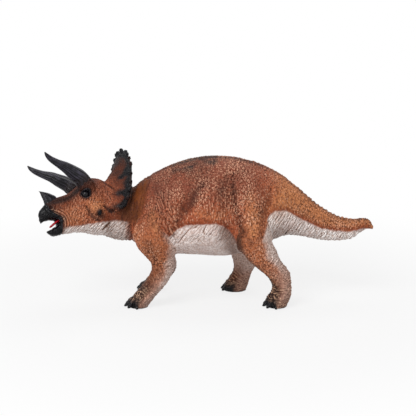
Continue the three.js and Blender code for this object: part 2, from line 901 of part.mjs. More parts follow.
function foreRows(side) {
  const column = side === "left" ? 1 : 2;
  return foreLegShares.map((row) => [
    row[0],
    row[column],
    row[3] * foreLegDepth,
    row[4],
    row[5] * foreLegWidth,
  ]);
}

function hindRows(side) {
  const column = side === "left" ? 1 : 2;
  return hindLegShares.map((row) => [
    row[0],
    row[column],
    row[column + 2] * hindLegDepth,
    row[5],
    row[6] * hindLegWidth,
  ]);
}

const legs = [
  ["left_fore_leg", foreRows("left"), "left", foreTop],
  ["right_fore_leg", foreRows("right"), "right", foreTop],
  ["left_hind_leg", hindRows("left"), "left", hindTop],
  ["right_hind_leg", hindRows("right"), "right", hindTop],
];

function neckPeg(grow) {
  const [, top, bottom] = torsoShares[0];
  const z = level((top + bottom) / 2);
  return keyedBar(
    new THREE.Vector3(neckSeam - neckPegLength / 2, 0, z),
    new THREE.Vector3(neckSeam + neckPegLength + grow, 0, z),
    neckPegWidth + 2 * grow,
    neckPegHeight + 2 * grow,
  );
}

function tailPeg(grow) {
  const [, top, bottom] = torsoShares.at(-1);
  const z = level((top + bottom) / 2);
  return keyedBar(
    new THREE.Vector3(tailSeam + tailPegLength / 2, 0, z),
    new THREE.Vector3(tailSeam - tailPegLength - grow, 0, z),
    tailPegWidth + 2 * grow,
    tailPegHeight + 2 * grow,
  );
}

// Where the two trunk halves are pinned together: [along, level].
const pinShares = [
  [0.2, 0.77],
  [0.52, 0.9],
  [0.84, 0.82],
  [0.5, 0.09],
];

function pinPoint([along, rise]) {
  return new THREE.Vector3(neckSeam + along * torsoLength, 0, level(rise));
}

function crossPin(place, from, to, width) {
  const ends = [from, to].map((y) => place.clone().addScaledVector(alongY, y));
  return sweep(ends, ends.map(() => [width / 2, width / 2]), hornSegments, alongX);
}

function hollow() {
  return torsoForm(-torsoWall, 9);
}

function torsoHalf(side, outer, inner) {
  const hand = side === "left" ? -1 : 1;
  const split = new THREE.Vector3(0, (hand * clearance) / 2, 0);
  const away = alongY.clone().multiplyScalar(-hand);
  let shell = outer.subtract(inner);
  for (const share of pinShares) {
    const boss = crossPin(pinPoint(share), 0, (hand * torsoWidth) / 2, locatingBossWidth);
    shell = shell.add(boss.intersect(outer));
  }
  shell = shell.subtract(halfSpace(split, away, wholeReach));
  shell = shell.subtract(neckPeg(clearance)).subtract(tailPeg(clearance));
  for (const [, rows, legSide, top] of legs) {
    if (legSide === side) shell = shell.subtract(legPeg(rows, legSide, top, clearance));
  }
  for (const share of pinShares) shell = pinned(shell, side, pinPoint(share));
  return mainBody(shell);
}

// The left half carries the pins and the right half their sleeves.
function pinned(shell, side, place) {
  if (side === "left") {
    return shell.add(crossPin(place, -locatingPinLength, locatingPinLength, locatingPinWidth));
  }
  const hole = locatingPinWidth + 2 * clearance;
  return shell.subtract(crossPin(place, -overrun, locatingPinLength + clearance, hole));
}

function buildHeadForm(grow) {
  let form = skullLoft(cheekShares, 13, grow).add(skullLoft(snoutShares, 13, grow));
  for (const hand of [-1, 1]) form = form.add(browBoss(hand, grow));
  return inHeadPose(form).add(neckForm(grow));
}

function buildHead() {
  let head = buildHeadForm(0);
  for (const hand of [-1, 1]) {
    head = head.add(inHeadPose(cheekSpike(hand)));
    head = head.subtract(inHeadPose(browHornPegHole(hand)));
    head = head.subtract(inHeadPose(eyeBead(hand, clearance)));
  }
  head = head.subtract(inHeadPose(noseHornPeg(clearance)));
  head = head.subtract(inHeadPose(frillPeg(clearance)));
  head = head.subtract(inHeadPose(jawPeg(clearance)));
  head = head.subtract(inHeadPose(tongueForm(clearance * 2)));
  return mainBody(head).add(neckPeg(0));
}

function buildFrill(grownHead, grownTorso) {
  let frill = frillForm();
  for (const knob of rimKnobs()) frill = frill.add(knob);
  frill = inHeadPose(frill).subtract(grownHead).subtract(grownTorso);
  return mainBody(frill).add(inHeadPose(frillPeg(0)).subtract(grownTorso));
}

function buildPieces() {
  const outer = torsoForm(0, 16);
  const inner = hollow();
  const grownTorso = torsoForm(clearance, 16);
  const grownHead = buildHeadForm(clearance);
  const grownTail = tailForm(clearance);
  const pieces = {
    torso_left_shell: torsoHalf("left", outer, inner),
    torso_right_shell: torsoHalf("right", outer, inner),
    head: buildHead(),
    frill: buildFrill(grownHead, grownTorso),
    tail: tailForm(0).add(tailPeg(0)),
  };
  pieces.lower_jaw = inHeadPose(jawForm(0).add(jawPeg(0)));
  pieces.tongue = mainBody(inHeadPose(tongueForm(0).subtract(jawForm(clearance))));
  pieces.nose_horn = noseHornPiece(grownHead);
  for (const [name, hand] of [["left", -1], ["right", 1]]) {
    pieces[name + "_brow_horn"] = inHeadPose(browHorn(hand));
    pieces[name + "_eye"] = inHeadPose(eyeBead(hand, 0));
  }
  for (const [name, rows, side, top] of legs) {
    pieces[name] = leg(rows, side, top, [grownTorso, grownHead, grownTail]);
  }
  return pieces;
}

function noseHornPiece(grownHead) {
  const horn = mainBody(inHeadPose(noseHornForm()).subtract(grownHead));
  return horn.add(inHeadPose(noseHornPeg(0)));
}

// Base paint of each kind of piece.
const skinPaint = { color: 0xa45f3c, roughness: 0.55, metalness: 0 };
const hornPaint = { color: 0x1d1b22, roughness: 0.35, metalness: 0 };
const tonguePaint = { color: 0xb32030, roughness: 0.35, metalness: 0 };
const eyePaint = { color: 0x050506, roughness: 0.1, metalness: 0 };

function paintFor(name) {
  if (name.includes("horn") || name === "lower_jaw") return hornPaint;
  if (name === "tongue") return tonguePaint;
  if (name.includes("eye")) return eyePaint;
  return skinPaint;
}

function meshFrom(name, body) {
  const data = body.getMesh();
  const geometry = new THREE.BufferGeometry();
  geometry.setAttribute("position", new THREE.BufferAttribute(data.vertProperties, 3));
  geometry.setIndex(new THREE.BufferAttribute(data.triVerts, 1));
  geometry.computeVertexNormals();
  const mesh = new THREE.Mesh(geometry, new THREE.MeshStandardMaterial(paintFor(name)));
  mesh.name = name;
  return mesh;
}

// The figure's origin is at the middle of its box, on the ground.
function centred(pieces) {
  const box = new THREE.Box3();
  for (const body of Object.values(pieces)) {
    const { min, max } = body.boundingBox();
    box.expandByPoint(new THREE.Vector3(...min));
    box.expandByPoint(new THREE.Vector3(...max));
  }
  const middlePoint = box.getCenter(new THREE.Vector3());
  return [-middlePoint.x, -middlePoint.y, -box.min.z];
}

const pieces = buildPieces();
const shift = centred(pieces);
const group = new THREE.Group();
group.name = "horned_dinosaur_figure";
for (const [name, body] of Object.entries(pieces)) {
  group.add(meshFrom(name, body.translate(shift)));
}

export default group;
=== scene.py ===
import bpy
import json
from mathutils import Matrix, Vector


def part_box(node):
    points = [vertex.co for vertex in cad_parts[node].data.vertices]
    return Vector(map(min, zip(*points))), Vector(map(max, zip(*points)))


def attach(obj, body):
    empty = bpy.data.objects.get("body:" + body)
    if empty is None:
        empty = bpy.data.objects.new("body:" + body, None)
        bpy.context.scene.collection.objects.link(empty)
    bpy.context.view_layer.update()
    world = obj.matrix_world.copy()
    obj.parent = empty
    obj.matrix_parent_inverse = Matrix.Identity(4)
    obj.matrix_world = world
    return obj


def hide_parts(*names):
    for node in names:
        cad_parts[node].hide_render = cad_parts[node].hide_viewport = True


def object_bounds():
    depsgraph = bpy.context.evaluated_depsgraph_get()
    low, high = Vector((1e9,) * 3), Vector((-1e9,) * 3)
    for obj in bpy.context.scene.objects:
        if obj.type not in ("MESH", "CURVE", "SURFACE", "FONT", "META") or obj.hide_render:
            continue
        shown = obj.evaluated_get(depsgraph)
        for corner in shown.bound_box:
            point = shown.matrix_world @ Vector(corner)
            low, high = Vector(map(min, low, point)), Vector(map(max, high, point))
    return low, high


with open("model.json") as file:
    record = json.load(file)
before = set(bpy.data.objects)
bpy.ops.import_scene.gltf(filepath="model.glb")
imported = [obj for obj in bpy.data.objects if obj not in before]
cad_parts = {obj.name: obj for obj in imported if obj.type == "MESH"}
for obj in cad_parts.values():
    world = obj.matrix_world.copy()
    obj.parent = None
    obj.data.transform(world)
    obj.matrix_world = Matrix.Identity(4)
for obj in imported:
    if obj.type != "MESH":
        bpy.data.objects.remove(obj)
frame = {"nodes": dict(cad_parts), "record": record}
cad_box = [[float(v) for v in corner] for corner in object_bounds()]

# A moulded vinyl toy of a walking three-horned dinosaur, airbrushed and dry-brushed by hand.
# Lengths in this file are millimetres, and the meshes are turned to metres when they are made.
import json
import math

import bpy
import numpy as np
from mathutils import Vector
from mathutils.bvhtree import BVHTree

MM = 0.001

TORSO = ("torso_left_shell", "torso_right_shell")
TRUNK = (*TORSO, "tail")
LEGS = ("left_fore_leg", "right_fore_leg", "left_hind_leg", "right_hind_leg")
BODY = TRUNK + LEGS
HEAD = ("head", "frill", "lower_jaw")

# The head is modelled in its own axes: -a is forward, b is across, c is up.
neck_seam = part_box("torso_left_shell")[0][0] / MM
head_origin = np.array([neck_seam - 31, -6.0, 64.16])
head_yaw = math.radians(28)
head_roll = math.radians(-26)

# The trunk's outline at the neck seam and on either side of it, by which each skin runs on past the seam:
# distance behind the seam, half width, rise, fall and middle level.
at_seam = (17.96, 17.26, 14.12, 51.45)
behind_seam = [(-1.3, 16.6, 16.2, 13.3, 51.5), (-0.3, *at_seam), (0, *at_seam), (6.6, 21.1, 22.5, 18.4, 51.6)]
before_seam = [(1, 17, 16.3, 13.2, 51.45), (0, *at_seam), (-0.3, *at_seam), (-5, 16.8, 16.5, 15.0, 51.7)]
seam_overlap = 0.7
neck_bottom = 30
neck_fullness = 0.94
neck_sides = 40

# Each skin is cast on a grid this fine, its inner corners are filled this many points wide, and it is then
# divided once more.
body_grain = 0.9
body_fillet = 10
head_grain = 0.6
head_fillet = 5
smooth_rounds = 3
fillet_rounds = 45
# Nothing comes nearer than this to the faces of the solids' box.
box_margin = 0.02
# Wash and painted shade fill creases this deep, and dry brush and painted highlight take crests this high.
wash_and_shade_depth = 0.23
brush_and_highlight_height = 0.15


def fade(low, high, value):
    """0 at low, 1 at high, with a soft start and end."""
    t = np.clip((value - low) / (high - low), 0, 1)
    return t * t * (3 - 2 * t)


def bell(distance, width):
    return np.exp(-((distance / width) ** 2))


def along_table(table, value):
    rows = np.array(table, float)
    return np.interp(value, rows[:, 0], rows[:, 1])


def chance(cells, seed):
    """A repeatable number from 0 to 1 for each cell of a grid."""
    h = cells[:, 0] * 374761393 + cells[:, 1] * 668265263 + cells[:, 2] * 1442695041 + seed * 1274126177
    h = (h ^ (h >> 13)) * 1103515245
    h = h ^ (h >> 16)
    return (h & 0xFFFFF) / 0xFFFFF


def clouds(points, size, seed=0):
    """Soft noise from -1 to 1 whose lumps are about this many millimetres."""
    q = points / np.asarray(size, float)
    cell = np.floor(q).astype(np.int64)
    f = q - cell
    f = f * f * (3 - 2 * f)
    total = np.zeros(len(points))
    for corner in range(8):
        step = np.array([corner & 1, (corner >> 1) & 1, corner >> 2])
        weight = np.prod(np.where(step, f, 1 - f), axis=1)
        total += weight * chance(cell + step, seed)
    return total * 2 - 1


def pebbles(points, size, seed=0, jitter=0.85):
    """Distance to the nearest and second-nearest scattered pebble, and a number for the nearest one."""
    q = points / np.asarray(size, float)
    cell = np.floor(q).astype(np.int64)
    near = np.full(len(q), 9.0)
    second = np.full(len(q), 9.0)
    tone = np.zeros(len(q))
    for step in np.ndindex(3, 3, 3):
        spot = cell + np.array(step) - 1
        centre = np.stack([chance(spot, seed + k) for k in range(3)], axis=1)
        gap = np.linalg.norm(q - spot - 0.5 - jitter * (centre - 0.5), axis=1)
        closer = gap < near
        second = np.where(closer, near, np.minimum(second, gap))
        tone = np.where(closer, chance(spot, seed + 5), tone)
        near = np.where(closer, gap, near)
    return near, second, tone


def path_gap(x, z, path):
    """Distance from points of a side view to a path there, and how far along it the nearest point is."""
    best = np.full(len(x), 1e9)
    share = np.zeros(len(x))
    steps = len(path) - 1
    for i in range(steps):
        (x0, z0), (x1, z1) = path[i], path[i + 1]
        dx, dz = x1 - x0, z1 - z0
        t = np.clip(((x - x0) * dx + (z - z0) * dz) / (dx * dx + dz * dz), 0, 1)
        gap = np.hypot(x - x0 - t * dx, z - z0 - t * dz)
        nearer = gap < best
        best = np.where(nearer, gap, best)
        share = np.where(nearer, (i + t) / steps, share)
    return best, share


def stroke(x, z, path, width):
    """1 on a brush or tool stroke along a path, thinning out at both ends."""
    gap, share = path_gap(x, z, path)
    ends = 0.35 + 0.65 * np.sin(np.pi * np.clip(share, 0.02, 0.98)) ** 0.6
    return bell(gap, width * ends)


def strokes(x, z, table):
    """Strokes laid over each other, from rows of strength, width and path."""
    return sum(strength * stroke(x, z, path, width) for strength, width, path in table)


def sprayed(points, path, width, seed):
    """A soft streak along a path in the side view, uneven as a hand leaves it with an airbrush. It lays
    sprayed paint, and painted shade in the folds of the trunk.
    """
    x, _, z = points.T
    patchy = clouds(points, 2.6, seed)
    drift = clouds(points, 6, seed + 1)
    mark = stroke(x + 1.2 * drift, z + 0.8 * patchy, path, width * (1 + 0.3 * drift))
    return mark * np.clip(0.68 + 0.5 * patchy, 0, 1)


def circle(segments):
    """The angles of evenly spaced places round a circle."""
    return np.arange(segments) / segments * 2 * math.pi


def folds(phase):
    """Plump folds with narrow creases between them, one for each whole number of the phase."""
    return np.abs(np.sin(np.pi * phase)) ** 0.75 - 0.6


def inside_box(points):
    """Holds points within the box of the solids, with the feet on the ground."""
    low, high = np.array(cad_box) / MM
    return np.clip(points, low + box_margin, high - box_margin)


def mesh_from(name, points, quads, tris=None):
    """A mesh in metres from points in millimetres."""
    tris = np.zeros((0, 3), int) if tris is None else np.asarray(tris, int).reshape(-1, 3)
    quads = np.asarray(quads, int).reshape(-1, 4)
    corners = np.concatenate([quads.ravel(), tris.ravel()])
    totals = np.concatenate([np.full(len(quads), 4), np.full(len(tris), 3)])
    mesh = bpy.data.meshes.new(name)
    mesh.vertices.add(len(points))
    mesh.vertices.foreach_set("co", (np.asarray(points, float) * MM).ravel())
    mesh.loops.add(len(corners))
    mesh.loops.foreach_set("vertex_index", corners)
    mesh.polygons.add(len(totals))
    mesh.polygons.foreach_set("loop_start", np.cumsum(totals) - totals)
    mesh.polygons.foreach_set("loop_total", totals)
    mesh.update(calc_edges=True)
    mesh.validate()
    mesh.polygons.foreach_set("use_smooth", np.ones(len(mesh.polygons), bool))
    return mesh


def worked(mesh, kind, **settings):
    """Points in millimetres and four-sided faces after one modifier has worked on a mesh."""
    blank = standing("blank", mesh)
    modifier = blank.modifiers.new("work", kind)
    for key, value in settings.items():
        setattr(modifier, key, value)
    bpy.context.view_layer.update()
    done = blank.evaluated_get(bpy.context.evaluated_depsgraph_get()).to_mesh()
    points = np.empty(len(done.vertices) * 3)
    done.vertices.foreach_get("co", points)
    corners = np.empty(len(done.loops), int)
    done.loops.foreach_get("vertex_index", corners)
    bpy.data.objects.remove(blank)
    bpy.data.meshes.remove(mesh)
    return points.reshape(-1, 3) / MM, corners.reshape(-1, 4)


def solids_of(nodes):
    """Points in millimetres, triangles, and which node each triangle comes from."""
    points, faces, owner = [], [], []
    count = 0
    for i, node in enumerate(nodes):
        mesh = frame["nodes"][node].data
        mesh.calc_loop_triangles()
        co = np.empty(len(mesh.vertices) * 3)
        mesh.vertices.foreach_get("co", co)
        tri = np.empty(len(mesh.loop_triangles) * 3, int)
        mesh.loop_triangles.foreach_get("vertices", tri)
        points.append(co.reshape(-1, 3) / MM)
        faces.append(tri.reshape(-1, 3) + count)
        owner.append(np.full(len(faces[-1]), i))
        count += len(points[-1])
    return np.concatenate(points), np.concatenate(faces), np.concatenate(owner)


def outer_shell(points, quads):
    """Only the outermost closed surface, without the walls of hollows inside it."""
    tag = np.arange(len(points))
    start = quads.ravel()
    end = np.roll(quads, -1, axis=1).ravel()
    while True:
        new = tag.copy()
        np.minimum.at(new, start, tag[end])
        np.minimum.at(new, end, tag[start])
        new = new[new]
        if np.array_equal(new, tag):
            break
        tag = new
    outer = tag[np.argmax(points[:, 2])]
    keep = tag == outer
    index = np.cumsum(keep) - 1
    return points[keep], index[quads[keep[quads[:, 0]]]]


def neck_plug(rows):
    """A closed stub with the neck's outline, so that a skin can run on past the seam."""
    sides = neck_sides
    turn = circle(sides)
    across = np.sign(np.cos(turn)) * np.abs(np.cos(turn)) ** neck_fullness
    lift = np.sign(np.sin(turn)) * np.abs(np.sin(turn)) ** neck_fullness
    points = []
    for back, half, rise, fall, middle in rows:
        up = np.where(lift > 0, rise, fall) * lift
        points.append(np.stack([np.full(sides, neck_seam + back), half * across, middle + up], 1))
    points = np.concatenate(points)
    a = np.arange(len(points) - sides)
    b = a - a % sides + (a + 1) % sides
    last = len(points) - sides
    ends = [(0, k + 1, k) for k in range(1, sides - 1)]
    ends += [(last, last + k, last + k + 1) for k in range(1, sides - 1)]
    walls = np.concatenate([np.stack([a, b, b + sides], 1), np.stack([a, b + sides, a + sides], 1)])
    faces = np.concatenate([walls, np.array(ends)])
    return points, faces if rows[0][0] < rows[-1][0] else faces[:, ::-1]


def round_lump(middle, radius):
    """A closed ball, to be cast in one with a skin."""
    rings, segments = 8, 14
    lat = np.repeat(np.linspace(0.2, math.pi - 0.2, rings), segments)
    turn = np.tile(circle(segments), rings)
    ball = np.stack([np.sin(lat) * np.cos(turn), np.sin(lat) * np.sin(turn), np.cos(lat)], 1)
    ball = np.concatenate([ball, [[0, 0, 1], [0, 0, -1]]]) * radius + middle
    a = np.arange((rings - 1) * segments)
    b = a - a % segments + (a + 1) % segments
    first = np.arange(segments)
    last = first + (rings - 1) * segments
    start, end = rings * segments, rings * segments + 1
    beside = (first + 1) % segments
    faces = [np.stack([a, a + segments, b], 1), np.stack([b, a + segments, b + segments], 1)]
    faces += [np.stack([first, beside, first * 0 + start], 1)]
    faces += [np.stack([last[beside], last, first * 0 + end], 1)]
    return ball, np.concatenate(faces)


class Skin:
    """A modelled skin: its points and faces, the node that each point belongs to, and its paint."""

    def __init__(self, nodes, grain, fillet, plug, lumps=()):
        self.nodes = nodes
        self.is_trunk = plug is before_seam
        points, faces, owner = solids_of(nodes)
        finder = BVHTree.FromPolygons([Vector(p) for p in points], faces.tolist())
        self.find = lambda place: owner[finder.find_nearest(Vector(place))[2]]
        for more, walls in [neck_plug(plug), *lumps]:
            faces = np.concatenate([faces, walls + len(points)])
            points = np.concatenate([points, more])
        blank = mesh_from("cast", points, np.zeros((0, 4), int), faces)
        self.set_shape(*outer_shell(*worked(blank, "REMESH", mode="VOXEL", voxel_size=grain * MM)))
        self.name_points()
        self.fill_corners(fillet)
        finer = mesh_from("finer", self.points, self.quads)
        self.set_shape(*worked(finer, "SUBSURF", levels=1, render_levels=1))
        self.name_points()
        self.relief = np.zeros(len(self.points))
        self.paint = {}

    def set_shape(self, points, quads):
        self.points = points
        self.quads = quads
        a = quads.ravel()
        b = np.roll(quads, -1, axis=1).ravel()
        self.start = np.concatenate([a, b])
        self.end = np.concatenate([b, a])
        self.ways = np.bincount(self.start, minlength=len(points))

    def name_points(self):
        """Gives each point its nearest node. What lies past the seam belongs to none and is left off."""
        self.owner = np.array([self.find(p) for p in self.points])
        x = self.points[:, 0] - neck_seam
        past = x < 0 if self.is_trunk else x > seam_overlap
        self.owner[past & (self.points[:, 2] > neck_bottom)] = len(self.nodes)

    def around(self, values):
        """The mean of each point's neighbours."""
        return np.bincount(self.start, values[self.end], len(self.points)) / self.ways

    def softened(self, values, rounds):
        for _ in range(rounds):
            values = 0.5 * values + 0.5 * self.around(values)
        return values

    def relax(self, share, rounds):
        for _ in range(rounds):
            mean = np.stack([self.around(self.points[:, k]) for k in range(3)], axis=1)
            self.points += share[:, None] * (mean - self.points)

    def fill_corners(self, reach):
        """Rounds the inner corners where a limb meets the body, as the sculptor's clay does."""
        group = self.owner.copy()
        group[group == len(self.nodes)] = 0
        if self.is_trunk:
            group[group == 1] = 0
        joins = np.bincount(self.start, group[self.end] != group[self.start], len(group)) > 0
        rings = np.where(joins, 0.0, 99.0)
        for _ in range(reach):
            np.minimum.at(rings, self.start, rings[self.end] + 1)
        self.relax(np.full(len(group), 0.4), smooth_rounds)
        self.relax(0.5 * np.clip(1 - rings / reach, 0, 1), fillet_rounds)

    def normals(self):
        corners = self.points[self.quads]
        face = np.cross(corners[:, 2] - corners[:, 0], corners[:, 3] - corners[:, 1])
        total = np.zeros_like(self.points)
        for k in range(4):
            for axis in range(3):
                total[:, axis] += np.bincount(self.quads[:, k], face[:, axis], len(self.points))
        return total / np.maximum(np.linalg.norm(total, axis=1), 1e-12)[:, None]

    def press(self, height):
        """Moves the surface out by a height in millimetres."""
        self.relief += height
        self.points += self.normals() * height[:, None]

    def wrinkle(self, share, across, period, length, depth, seed, warp=0.35):
        """Fine creased skin: cells this wide and this long, crossing the wrinkles in this direction."""
        spots = np.nonzero(share > 0.02)[0]
        p = self.points[spots]
        across = np.asarray(across, float)
        across = across / np.linalg.norm(across, axis=-1, keepdims=True)
        if across.ndim > 1:
            across = across[spots]
        ax, az = across[..., 0], across[..., 1]
        drift = clouds(p, 5 * period, seed) * warp + clouds(p, 2 * period, seed + 1) * warp * 0.4
        q = np.stack([
            (p[:, 0] * ax + p[:, 2] * az) / period + drift,
            (p[:, 0] * -az + p[:, 2] * ax) / length + 0.3 * drift,
            p[:, 1] / length,
        ], axis=1)
        near, second, tone = pebbles(q, 1.0, seed + 2, 0.95)
        plump = fade(0.02, 0.4, second - near) - 0.62
        height = np.zeros(len(share))
        height[spots] = depth * share[spots] * plump * (0.65 + 0.7 * tone)
        return height

    def mask(self, *nodes):
        owner = np.where(self.owner == len(self.nodes), 0, self.owner)
        return np.isin(owner, [self.nodes.index(n) for n in nodes]).astype(float)

    def lay_paint(self, **layers):
        """Keeps layers of paint. The creases are darkened, as wash and painted shade, and the crests
        lightened, as dry brush and painted highlight.
        """
        for name, amount in layers.items():
            self.paint[name] = np.clip(self.softened(amount, 1), 0, 1)
        level = self.softened(self.relief, 10)
        self.paint["crease"] = np.clip((level - self.relief) / wash_and_shade_depth, 0, 1)
        self.paint["crest"] = np.clip((self.relief - level - 0.03) / brush_and_highlight_height, 0, 1)


def cut_pieces(skin, names):
    """One closed piece for each node of the skin. The shading runs on across the joints."""
    normals = skin.normals()
    votes = skin.owner[skin.quads]
    label = np.sort(votes, axis=1)[:, 1]
    pieces = {}
    for i, node in enumerate(skin.nodes):
        quads = skin.quads[label == i]
        used, flat = np.unique(quads, return_inverse=True)
        quads = flat.reshape(-1, 4)
        points, lean = skin.points[used], normals[used]
        caps, middles = cap_loops(points, quads, lean)
        mesh = mesh_from(names[node], np.concatenate([points, middles]), quads, caps)
        filler = np.tile([0.0, 0.0, 1.0], (len(middles), 1))
        mesh.normals_split_custom_set_from_vertices(np.concatenate([lean, filler]).tolist())
        for paint, values in skin.paint.items():
            layer = mesh.attributes.new(paint, "FLOAT", "POINT")
            layer.data.foreach_set("value", np.concatenate([values[used], np.zeros(len(middles))]))
        pieces[node] = standing(names[node], mesh)
    return pieces


def cap_loops(points, quads, lean):
    """Closes each cut edge with a fan to a point inside the piece."""
    a = quads.ravel()
    b = np.roll(quads, -1, axis=1).ravel()
    there = set(zip(a.tolist(), b.tolist()))
    after = {}
    for p, q in there:
        if (q, p) not in there:
            after.setdefault(q, []).append(p)
    caps, middles = [], []
    while after:
        first = next(iter(after))
        loop = [first]
        while loop[-1] in after:
            options = after[loop[-1]]
            step = options.pop()
            if not options:
                del after[loop[-1]]
            if step == first:
                break
            loop.append(step)
        centre = points[loop].mean(0) - 0.5 * lean[loop].mean(0)
        middle = len(points) + len(middles)
        middles.append(centre)
        caps += [(p, q, middle) for p, q in zip(loop, loop[1:] + loop[:1])]
    return np.array(caps, int).reshape(-1, 3), np.array(middles, float).reshape(-1, 3)


def swept(name, centres, halves, rise_way, segments, bump=None):
    """A closed horn, claw or tongue: rings along a line of centres, each with its own half sizes."""
    rings = len(centres)
    way = np.gradient(centres, axis=0)
    way /= np.linalg.norm(way, axis=1)[:, None]
    across = np.cross(way, rise_way)
    across /= np.linalg.norm(across, axis=1)[:, None]
    rise = np.cross(across, way)
    turn = circle(segments)
    points = []
    for i in range(rings):
        grow = np.ones(segments) if bump is None else bump(i / (rings - 1), turn)
        side = np.outer(np.cos(turn) * halves[i][0] * grow, across[i])
        up = np.outer(np.sin(turn) * halves[i][1] * grow, rise[i])
        points.append(centres[i] + side + up)
    tip = centres[-1] + way[-1] * min(halves[-1]) * 0.6
    return ring_piece(name, inside_box(np.concatenate([*points, [centres[0], tip]])), segments, True)


def ring_piece(name, points, segments, reverse=False):
    """A closed piece from rings of points, followed by the middle of the fan at each end."""
    start, end = len(points) - 2, len(points) - 1
    grid = np.arange(start).reshape(-1, segments)
    beside = np.roll(grid, -1, axis=1)
    quads = np.stack([grid[:-1], beside[:-1], beside[1:], grid[1:]], axis=2).reshape(-1, 4)
    caps = [(start, q, p) for p, q in zip(grid[0], beside[0])]
    caps += [(end, p, q) for p, q in zip(grid[-1], beside[-1])]
    order = -1 if reverse else 1
    mesh = mesh_from(name, points, quads[:, ::order], np.array(caps)[:, ::order])
    return standing(name, mesh)


def standing(name, mesh):
    """Stands a mesh, a lamp or a camera in the scene as an object."""
    piece = bpy.data.objects.new(name, mesh)
    bpy.context.scene.collection.objects.link(piece)
    return piece


def smooth_line(rows, count):
    """A smooth curve through rows of numbers, read at evenly spaced places."""
    rows = np.asarray(rows, float)
    padded = np.concatenate([[2 * rows[0] - rows[1]], rows, [2 * rows[-1] - rows[-2]]])
    result = []
    for place in np.linspace(0, len(rows) - 1, count):
        i = min(int(place), len(rows) - 2)
        t = place - i
        p0, p1, p2, p3 = padded[i:i + 4]
        curve = 2 * p1 + (p2 - p0) * t + (2 * p0 - 5 * p1 + 4 * p2 - p3) * t * t
        result.append((curve + (3 * p1 - p0 - 3 * p2 + p3) * t ** 3) / 2)
    return np.array(result)


def turn_matrix():
    cy, sy = math.cos(head_yaw), math.sin(head_yaw)
    cr, sr = math.cos(head_roll), math.sin(head_roll)
    yaw = np.array([[cy, -sy, 0], [sy, cy, 0], [0, 0, 1]])
    roll = np.array([[1, 0, 0], [0, cr, -sr], [0, sr, cr]])
    return yaw @ roll


head_turn = turn_matrix()


def head_axes(points):
    return (points - head_origin) @ head_turn


def from_head(points):
    return np.asarray(points, float) @ head_turn.T + head_origin


# The way that is up for the head.
head_up = head_turn @ np.array([0.0, 0.0, 1.0])


# The edge between the brown back and the pale belly, from the chest to the tail's tip: (x, z).
paint_line = [
    (-41, 44), (-20, 43), (-16.8, 45.6), (-13.4, 49.4), (-7.7, 52), (0.6, 53.1), (9, 53.7),
    (13.4, 52.2), (17.3, 49.2), (21.3, 42.6), (27, 38), (34, 43), (37.2, 49.2), (40.4, 57.2),
    (44.3, 59.5), (50.9, 58.1), (57.5, 53.8), (59.6, 52.2), (66.1, 48.5), (72.6, 45.1),
    (81.1, 43.4), (87.6, 42.3), (94, 43.2), (98, 44.0), (100.5, 43.8), (102.5, 41.5), (104, 40),
]
# The rear edge of the smooth ochre neck folds: (z, x).
neck_fold_line = [(44, -38.5), (50, -36.8), (57, -34.2), (64, -32.6), (72, -31), (80, -28.5)]
# Paths in the side view, as (x, z): the groove between neck and shoulder, the folds into the elbow, and the
# dark front of the upper arm.
shoulder_groove = [(-29, 82), (-31.5, 72), (-33, 62), (-35.5, 52), (-38.5, 44)]
elbow_path = [(-24, 70), (-20, 60), (-17, 52), (-16, 44)]
arm_path = [(-30.5, 42), (-28.8, 37), (-27, 32)]
# Hollows before the thigh, behind it and behind the shoulder: depth, width and path.
flank_hollows = [
    (0.5, 2.6, [(18.6, 80), (20.4, 66), (22.7, 57), (25.0, 46)]),
    (0.6, 2.8, [(41.5, 72), (38.4, 62), (36.6, 54), (36.6, 46)]),
    (0.4, 3.0, [(1.5, 76), (-4.5, 68), (-10, 60), (-14.5, 50)]),
]
# Lighter orange in the middle of the thigh, on the low flank and on the shoulder: strength, width and path.
flank_glows = [
    (1.0, 5.0, [(29, 70), (31, 58), (31, 48)]),
    (0.5, 4.0, [(-2, 60), (8, 58), (14, 60)]),
    (1.0, 4.0, [(-28, 60), (-26, 50)]),
]
# Painted shade on the belly before the knee, and the rust behind the elbow.
belly_shade_path = [(13, 50), (18, 43), (20, 33)]
rust_path = [(-23, 54), (-19.5, 48), (-18.2, 42)]
# Dark streaks on the trunk, painted shade in the folds before and behind the thigh and behind the shoulder,
# and a dark line along the top of the back: strength, width, seed, region that takes it, and path.
dark_streaks = [
    (0.75, 2.2, 66, "side", [(19.2, 76), (20.0, 68), (21.5, 60), (24, 52), (29.5, 40)]),
    (0.5, 2.6, 72, "side", [(12.4, 77), (12.8, 66), (13.4, 56), (15.6, 50)]),
    (0.8, 3.4, 67, "flank", [(1.5, 75), (-3.6, 69), (-9, 62), (-13.5, 53), (-16.5, 46)]),
    (0.5, 2.4, 68, "upper", [(41, 70), (38.2, 62), (36.2, 54)]),
    (1.1, 3.0, 69, "all", [(-16, 82), (-8, 84.5), (2, 86.5), (9, 87)]),
]
# The front edge of the pale strip behind each leg, as a share of the leg's half depth: (z, share).
fore_strip = [
    (2, 0.35), (8, 0.3), (13, 0.28), (18, 0.25), (23, 0.2), (28, 0.25), (33, 0.52), (38, 0.66), (44, 0.72),
]
hind_strip = [
    (4, 0.5), (8, 0.25), (14, 0.2), (19, 0.36), (23, 0.44), (28, 0.4), (33, 0.42), (38, 0.52), (44, 0.62),
]
# The same edge higher up, behind the thigh: (z, x).
thigh_edge = [(38, 38.2), (43, 36.4), (48.6, 38.1), (55.2, 40.6), (59.9, 43.2)]
# The directions of the grooves between the toes, from straight ahead and outward.
groove_turns = [math.radians(v) for v in (-7, 27, 64)]
# The levels at which a leg is measured, and how far from each its points are taken.
leg_levels = np.arange(1.0, 62.0, 2.0)
level_reach = 1.4


def hand_of(node):
    """-1 for a node on the left side, and 1 for one on the right."""
    return -1 if node.startswith("left") else 1


